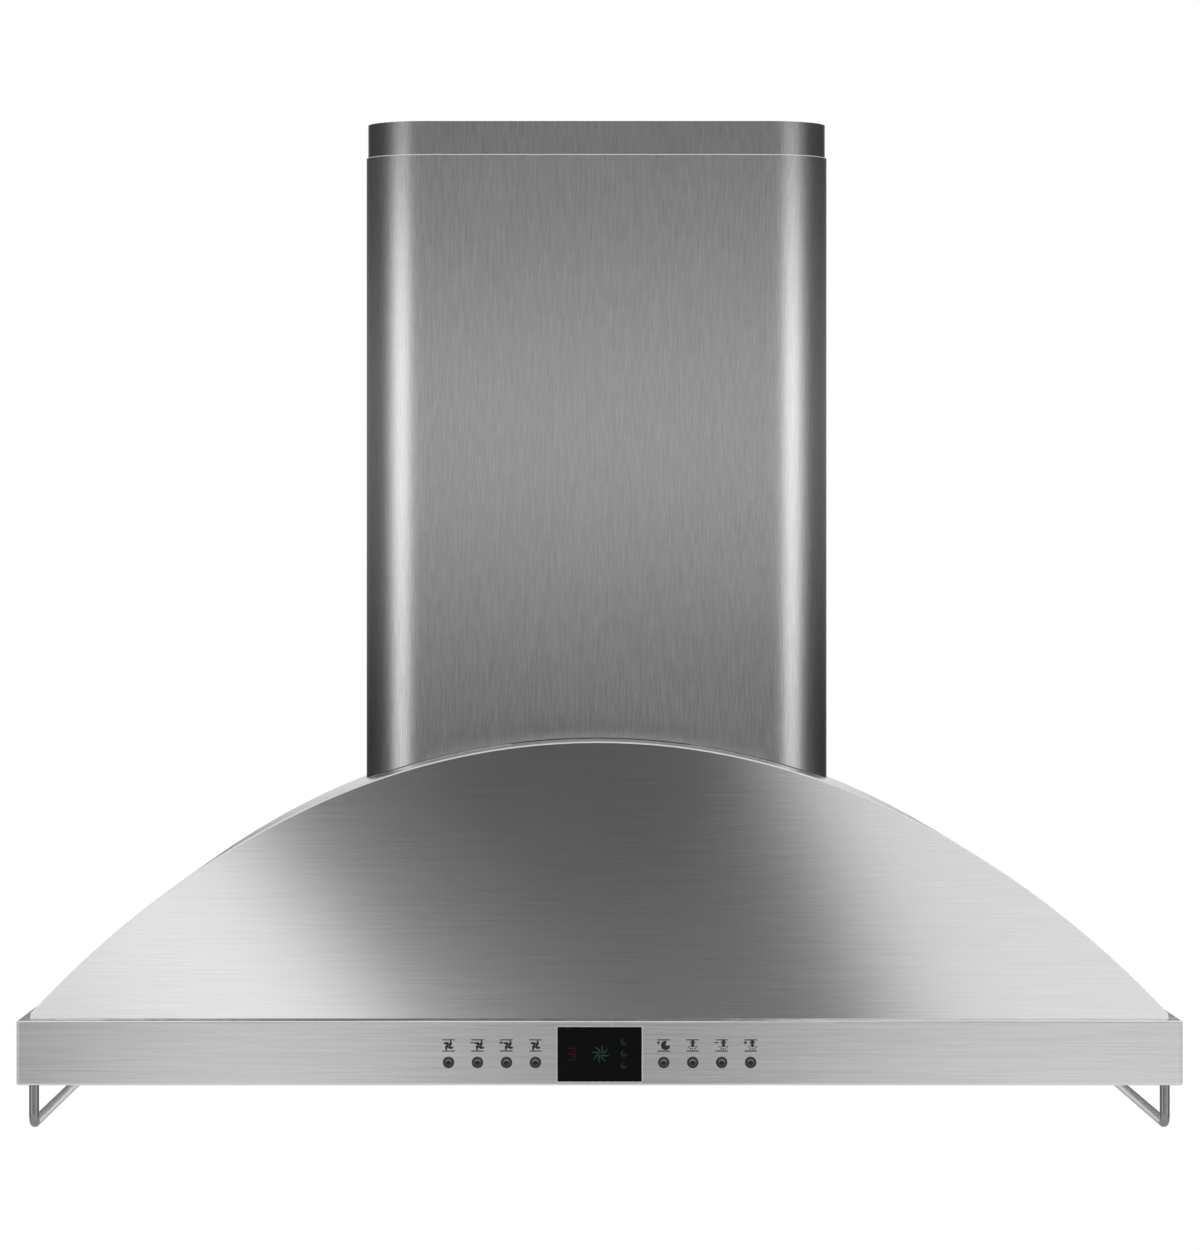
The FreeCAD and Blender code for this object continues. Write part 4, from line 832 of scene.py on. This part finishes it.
class HOOD_OT_controls(bpy.types.Operator):
    """Finishes the buttons and the display, and adds the printed marks."""
    bl_idname = "hood.controls"
    bl_label = "Controls"

    def execute(self, context):
        values = context.scene.hood_controls
        dress(button_cap("button_cap", values.cap_colour), *BUTTONS)
        dress(moulded("ring_black", (0.010, 0.010, 0.011), 0.28, 1500.0, depth=0.00002), "button_rings")
        dress(polished("frame_bright", (0.72, 0.72, 0.73), 0.2), "display_frame")
        dress(black_glass("glass_black"), "display_window")
        self.printed(values)
        self.symbols(values)
        return {"FINISHED"}

    def printed(self, values):
        """Icons between two rules over each button."""
        printed = ink("mark_ink", values.mark_colour)
        places = sorted(middle_of(n).x for n in BUTTONS)
        kinds = [("fan", ""), ("fan", "minus"), ("fan", "plus"), ("fan", ""),
                 ("timer", "plus"), ("lamp", ""), ("lamp", "minus"), ("lamp", "plus")]
        z = values.icon_height
        size = values.icon_size
        for number, (x, (kind, sign)) in enumerate(zip(places, kinds), 1):
            outlines = [bar(x, z + values.rule_gap, values.rule_width, values.rule_weight),
                        bar(x, z - values.rule_gap, values.rule_width, values.rule_weight)]
            middle = x + (size * 0.33 if sign else 0.0)
            if kind == "fan":
                outlines += fan_mark(middle, z, size, 4, size * 0.60, 55.0)
            elif kind == "timer":
                outlines.append(disc(middle, z, size * 0.85, 28, 75.0, 285.0))
            else:
                outlines += lamp_mark(middle, z, size * 0.92)
            if sign:
                outlines += sign_mark(sign, x - size * 0.98, z + size * 0.5, size * 0.7)
            mesh = flat_marks(outlines, FACE_Y, "icon")
            piece("icon_" + str(number), mesh, printed, "hood")

    def symbols(self, values):
        """Unlit digit, fan and three moons that show through the black glass."""
        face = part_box("display_window")[0].y
        moons = [self.moon(MOON_X, z, MOON_SIZE) for z in MOON_HEIGHTS]
        marks = (("digit", "digit_dim", values.digit_colour, self.digit(*DIGIT)),
                 ("fan", "symbol_dim", values.symbol_colour, fan_mark(*DISPLAY_FAN)),
                 ("moons", "moon_dim", values.moon_colour, moons))
        for name, finish, tone, outlines in marks:
            mesh = flat_marks(outlines, face, name)
            piece("display_" + name, mesh, ink(finish, tone, 0.1), "hood")

    def digit(self, x, z, wide, tall, weight):
        """Five bars that make a figure three."""
        reach = (tall - weight) / 2
        level = [bar(x, z + k * reach, wide, weight) for k in (-1, 0, 1)]
        right = x + (wide - weight) / 2
        upright = [bar(right, z + k * reach / 2, weight, reach - weight * 1.3) for k in (-1, 1)]
        return level + upright

    def moon(self, x, z, radius):
        """Disc with a bite out of its upper right."""
        bite = radius * 0.35
        outer = [round_about(x, z, radius, a) for a in range(70, 361, 15)]
        inner = [round_about(x + bite, z + bite, radius * 0.62, a) for a in range(330, 119, -15)]
        return outer + inner


class HOOD_OT_underside(bpy.types.Operator):
    """Finishes the underside panel, the filters and the lamps, and adds the filters' rivets."""
    bl_idname = "hood.underside"
    bl_label = "Underside"

    def execute(self, context):
        shell = context.scene.hood_shell
        liner = brushed("steel_liner", shell.liner_colour, shell.roughness, shell.grain,
                        FILTER_GRAIN, (0.0, 1.0, 0.0), dust=0.25)
        dress(liner, "underside_panel")
        frame_steel = brushed("steel_filter", (0.57, 0.57, 0.58), 0.26, shell.grain, FILTER_GRAIN,
                              (0.0, 1.0, 0.0))
        channel = brushed("steel_baffle", (0.62, 0.62, 0.63), 0.20, shell.grain, BAFFLE_GRAIN,
                          (1.0, 0.0, 0.0))
        handle = polished("handle_bright", (0.68, 0.68, 0.69), 0.10)
        magnet = polished("magnet_nickel", (0.42, 0.42, 0.41), 0.25, 0.2)
        for side in SIDES:
            dress(frame_steel, "filter_frame_" + side)
            dress(channel, "filter_baffles_" + side)
            dress(handle, "filter_handle_" + side)
            dress(magnet, "filter_magnets_" + side)
            self.rivets(side, handle)
        bezel = polished("bezel_satin", (0.62, 0.62, 0.63), 0.22)
        glass = clear_glass("lens_frosted", (0.93, 0.95, 0.95), 0.22)
        for side in ("left", "right"):
            dress(bezel, "lamp_bezel_" + side)
            dress(glass, "lamp_lens_" + side)
        dress(polished("reflector_bright", (0.80, 0.80, 0.80), 0.15), "lamp_housings")
        dress(clear_glass("bulb_clear", (0.96, 0.96, 0.94), 0.03), "lamp_bulbs")
        return {"FINISHED"}

    def rivets(self, side, material):
        """Four small domed rivets at the corners of a filter."""
        low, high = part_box("filter_frame_" + side)
        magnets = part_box("filter_magnets_" + side)
        front, bottom = magnets[0].y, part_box("underside_panel")[0].z
        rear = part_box("filter_baffles_" + side)[1].y
        inset = 0.0055
        corners = [(x, y) for y in (front + inset, rear - inset / 2) for x in (low.x + inset, high.x - inset)]
        for number, (x, y) in enumerate(corners, 1):
            mesh = turned_mesh(RIVET, (x, y, bottom), (0.0, 0.0, -1.0), "rivet", 20)
            name = "filter_rivet_" + side + "_" + str(number)
            piece(name, mesh, material, "filter_" + side)


class HOOD_OT_back(bpy.types.Operator):
    """Finishes the zinc coated sheets at the back and inside."""
    bl_idname = "hood.back"
    bl_label = "Back and brackets"

    def execute(self, context):
        values = context.scene.hood_inside
        sheet = zinc("zinc_sheet", values.zinc_colour)
        dress(sheet, "back_panel", "cover_strap", "blower_housing", "inlet_rings", "motor_bracket",
              "blower_bracket", "outlet_box", "junction_box", "junction_box_lid")
        return {"FINISHED"}


class HOOD_OT_blower(bpy.types.Operator):
    """Finishes the wheel, the motor, the collar and its flaps, and adds the ring's screws."""
    bl_idname = "hood.blower"
    bl_label = "Blower"

    def execute(self, context):
        values = context.scene.hood_inside
        wheel = moulded("wheel_moulded", values.plastic_colour, 0.42, 700.0, 0.35)
        dress(wheel, "blower_wheel")
        dress(moulded("collar_moulded", scaled(values.plastic_colour, 0.8), 0.5, 900.0, 0.3), "outlet_collar")
        dress(moulded("flap_moulded", scaled(values.plastic_colour, 1.3), 0.45, 800.0, 0.3),
              "damper_flap_front", "damper_flap_rear")
        dress(moulded("can_white", (0.62, 0.62, 0.58), 0.35, 1200.0, 0.2, 0.00002), "capacitor")
        motor, build, shader = new_material("motor_cast", {"Metallic": 0.9})
        effect = pebbled(build, 500.0)
        tone = build.blend(effect["Cloud"], (0.40, 0.40, 0.42, 1.0), (0.56, 0.56, 0.58, 1.0))
        surface(build, shader, tone, build.span(effect["Pebble"], 0.3, 0.7, 0.38, 0.55))
        bumped(build, shader, effect["Pebble"], 0.4, 0.0001)
        dress(motor, "motor")
        self.ring_screws()
        return {"FINISHED"}

    def ring_screws(self):
        """Six small screws round each inlet ring."""
        low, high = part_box("inlet_rings")
        _, centre_y, centre_z = middle_of("inlet_rings")
        reach = (high.z - low.z) / 2 - 0.0045
        for side, name, x in ((-1.0, "left", low.x), (1.0, "right", high.x)):
            for k in range(6):
                a = math.radians(60.0 * k + 30.0)
                place = (x, centre_y + reach * math.cos(a), centre_z + reach * math.sin(a))
                small_screw("ring_screw", name + "_" + str(k + 1), 0.0028, place, (side, 0.0, 0.0))


class HOOD_OT_electrics(bpy.types.Operator):
    """Finishes the board, its box and the transformer, and adds the leads inside the canopy."""
    bl_idname = "hood.electrics"
    bl_label = "Electrics"

    def execute(self, context):
        values = context.scene.hood_inside
        dress(moulded("board_lacquer", values.board_colour, 0.3, 1400.0, depth=0.00002), "control_board")
        dress(moulded("box_moulded", scaled(values.plastic_colour, 0.9), 0.5, 900.0), "control_box",
              "control_box_lid")
        dress(self.winding(values), "transformer")
        self.leads(values)
        return {"FINISHED"}

    def winding(self, values):
        """Dark stamped core beside the taped winding, told apart by their places."""
        material, build, shader = new_material("transformer_mixed", {"Roughness": 0.42})
        middle = middle_of("transformer")
        place = build.place()
        aside = build.math("ABSOLUTE", build.math("SUBTRACT", place["X"], middle.x))
        depth = build.math("ABSOLUTE", build.math("SUBTRACT", place["Y"], middle.y))
        coil = build.product(build.span(depth, CORE_HALF - 0.0001, CORE_HALF + 0.0001),
                             build.span(aside, COIL_HALF + 0.0005, COIL_HALF - 0.0005))
        effect = pebbled(build, 600.0)
        dark = build.blend(effect["Cloud"], (0.02, 0.02, 0.022, 1.0), (0.05, 0.05, 0.052, 1.0))
        tape = build.blend(effect["Cloud"], scaled(values.copper_colour, 0.8), scaled(values.copper_colour))
        build.feed(shader, "Base Color", build.blend(coil, dark, tape))
        bumped(build, shader, build.math("SINE", build.product(place["Y"], 9000.0)), 0.3, 0.0002)
        return material

    def leads(self, values):
        """Leads from the junction box to the motor and the transformer, and from each lamp."""
        sheath = moulded("lead_grey", (0.10, 0.10, 0.105), 0.45, 1600.0, depth=0.00002)
        radius = values.wire_radius
        depth = middle_of("transformer").y
        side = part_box("junction_box")[0].x + 0.0005
        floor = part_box("screws")[0].z + 0.0027 + radius
        end_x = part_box("motor")[1].x - 0.0005
        _, middle_y, middle_z = middle_of("motor")
        high = stepped((side, depth, 0.0), ((0.0, 0.0, 0.105), (-0.013, 0.0, 0.108), (-0.045, -0.006, 0.150),
                                            (-0.095, -0.028, 0.215)))
        high += stepped((end_x, middle_y, middle_z), ((0.034, 0.020, -0.035), (0.014, 0.003, -0.008),
                                                      (0.0, 0.0, -0.004)))
        wire_curve("lead_motor", high, radius, sheath, "hood")
        core_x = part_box("transformer")[1].x - 0.0105
        low = stepped((side, depth, 0.0), ((0.0, 0.0, 0.075), (-0.012, 0.0, 0.074), (-0.027, -0.003, 0.040),
                                           (-0.042, -0.007, 0.009), (-0.075, -0.009, floor)))
        low += stepped((0.0, depth, floor), ((0.05, -0.011, 0.0), (-0.08, -0.007, 0.0)))
        low += stepped((core_x, depth, 0.0), ((0.080, -0.009, floor), (0.038, -0.008, 0.010),
                                              (0.024, -0.003, 0.050), (0.017, 0.0, 0.095),
                                              (0.009, 0.0, 0.105), (0.0, 0.0, 0.105)))
        wire_curve("lead_transformer", low, radius, sheath, "hood")
        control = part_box("control_box")
        for s, name in ((-1, "left"), (1, "right")):
            x, y, _ = middle_of("lamp_lens_" + name)
            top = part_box("lamp_housings")[1].z
            reach = abs(x) - control[1].x
            steps = ((0.0, 0.0, top - 0.001), (0.0, 0.0, top + 0.008), (0.007, 0.005, top + 0.014),
                     (0.025, 0.015, top + 0.008), (0.045, 0.025, top * 0.6), (0.055, 0.018, 0.0055),
                     (0.072, -0.005, 0.0050), (0.082, -0.042, 0.0060), (reach - 0.010, -0.060, 0.014),
                     (reach + 0.0005, -0.060, 0.018))
            points = [(x - s * inward, y + back, z) for inward, back, z in steps]
            wire_curve("lead_lamp_" + name, points, radius * 0.7, sheath, "hood")
        self.lid_screws()

    def lid_screws(self):
        """Small screws on the lids of the junction box and the control box."""
        number, inset = 0, 0.006
        for lid, way in (("junction_box_lid", -1.0), ("control_box_lid", 1.0)):
            low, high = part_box(lid)
            face = low.y if way < 0 else high.y
            for x in (low.x + inset, high.x - inset):
                for z in (low.z + inset, high.z - inset):
                    number += 1
                    small_screw("lid_screw", str(number), 0.0026, (x, face, z), (0.0, way, 0.0))


class HOOD_PT_finish(bpy.types.Panel):
    """Lists the hood's settings and steps."""
    bl_idname = "HOOD_PT_finish"
    bl_label = "Hood finish"
    bl_space_type = "VIEW_3D"
    bl_region_type = "UI"
    bl_category = "Hood"

    def draw(self, context):
        layout = self.layout
        for name, group in GROUPS.items():
            values = getattr(context.scene, name)
            block = layout.box()
            for key in group.__annotations__:
                block.prop(values, key)
        for step in STEPS:
            layout.operator(step.bl_idname)


STEPS = (HOOD_OT_stage, HOOD_OT_shell, HOOD_OT_rails, HOOD_OT_controls, HOOD_OT_underside, HOOD_OT_back,
         HOOD_OT_blower, HOOD_OT_electrics)


def register():
    for name, group in GROUPS.items():
        bpy.utils.register_class(group)
        setattr(bpy.types.Scene, name, bpy.props.PointerProperty(type=group))
    for step in STEPS:
        bpy.utils.register_class(step)
    bpy.utils.register_class(HOOD_PT_finish)


def unregister():
    bpy.utils.unregister_class(HOOD_PT_finish)
    for step in reversed(STEPS):
        bpy.utils.unregister_class(step)
    for name, group in GROUPS.items():
        delattr(bpy.types.Scene, name)
        bpy.utils.unregister_class(group)


def main():
    register()
    for step in STEPS:
        family, action = step.bl_idname.split(".")
        getattr(getattr(bpy.ops, family), action)()


if __name__ == "__main__":
    main()
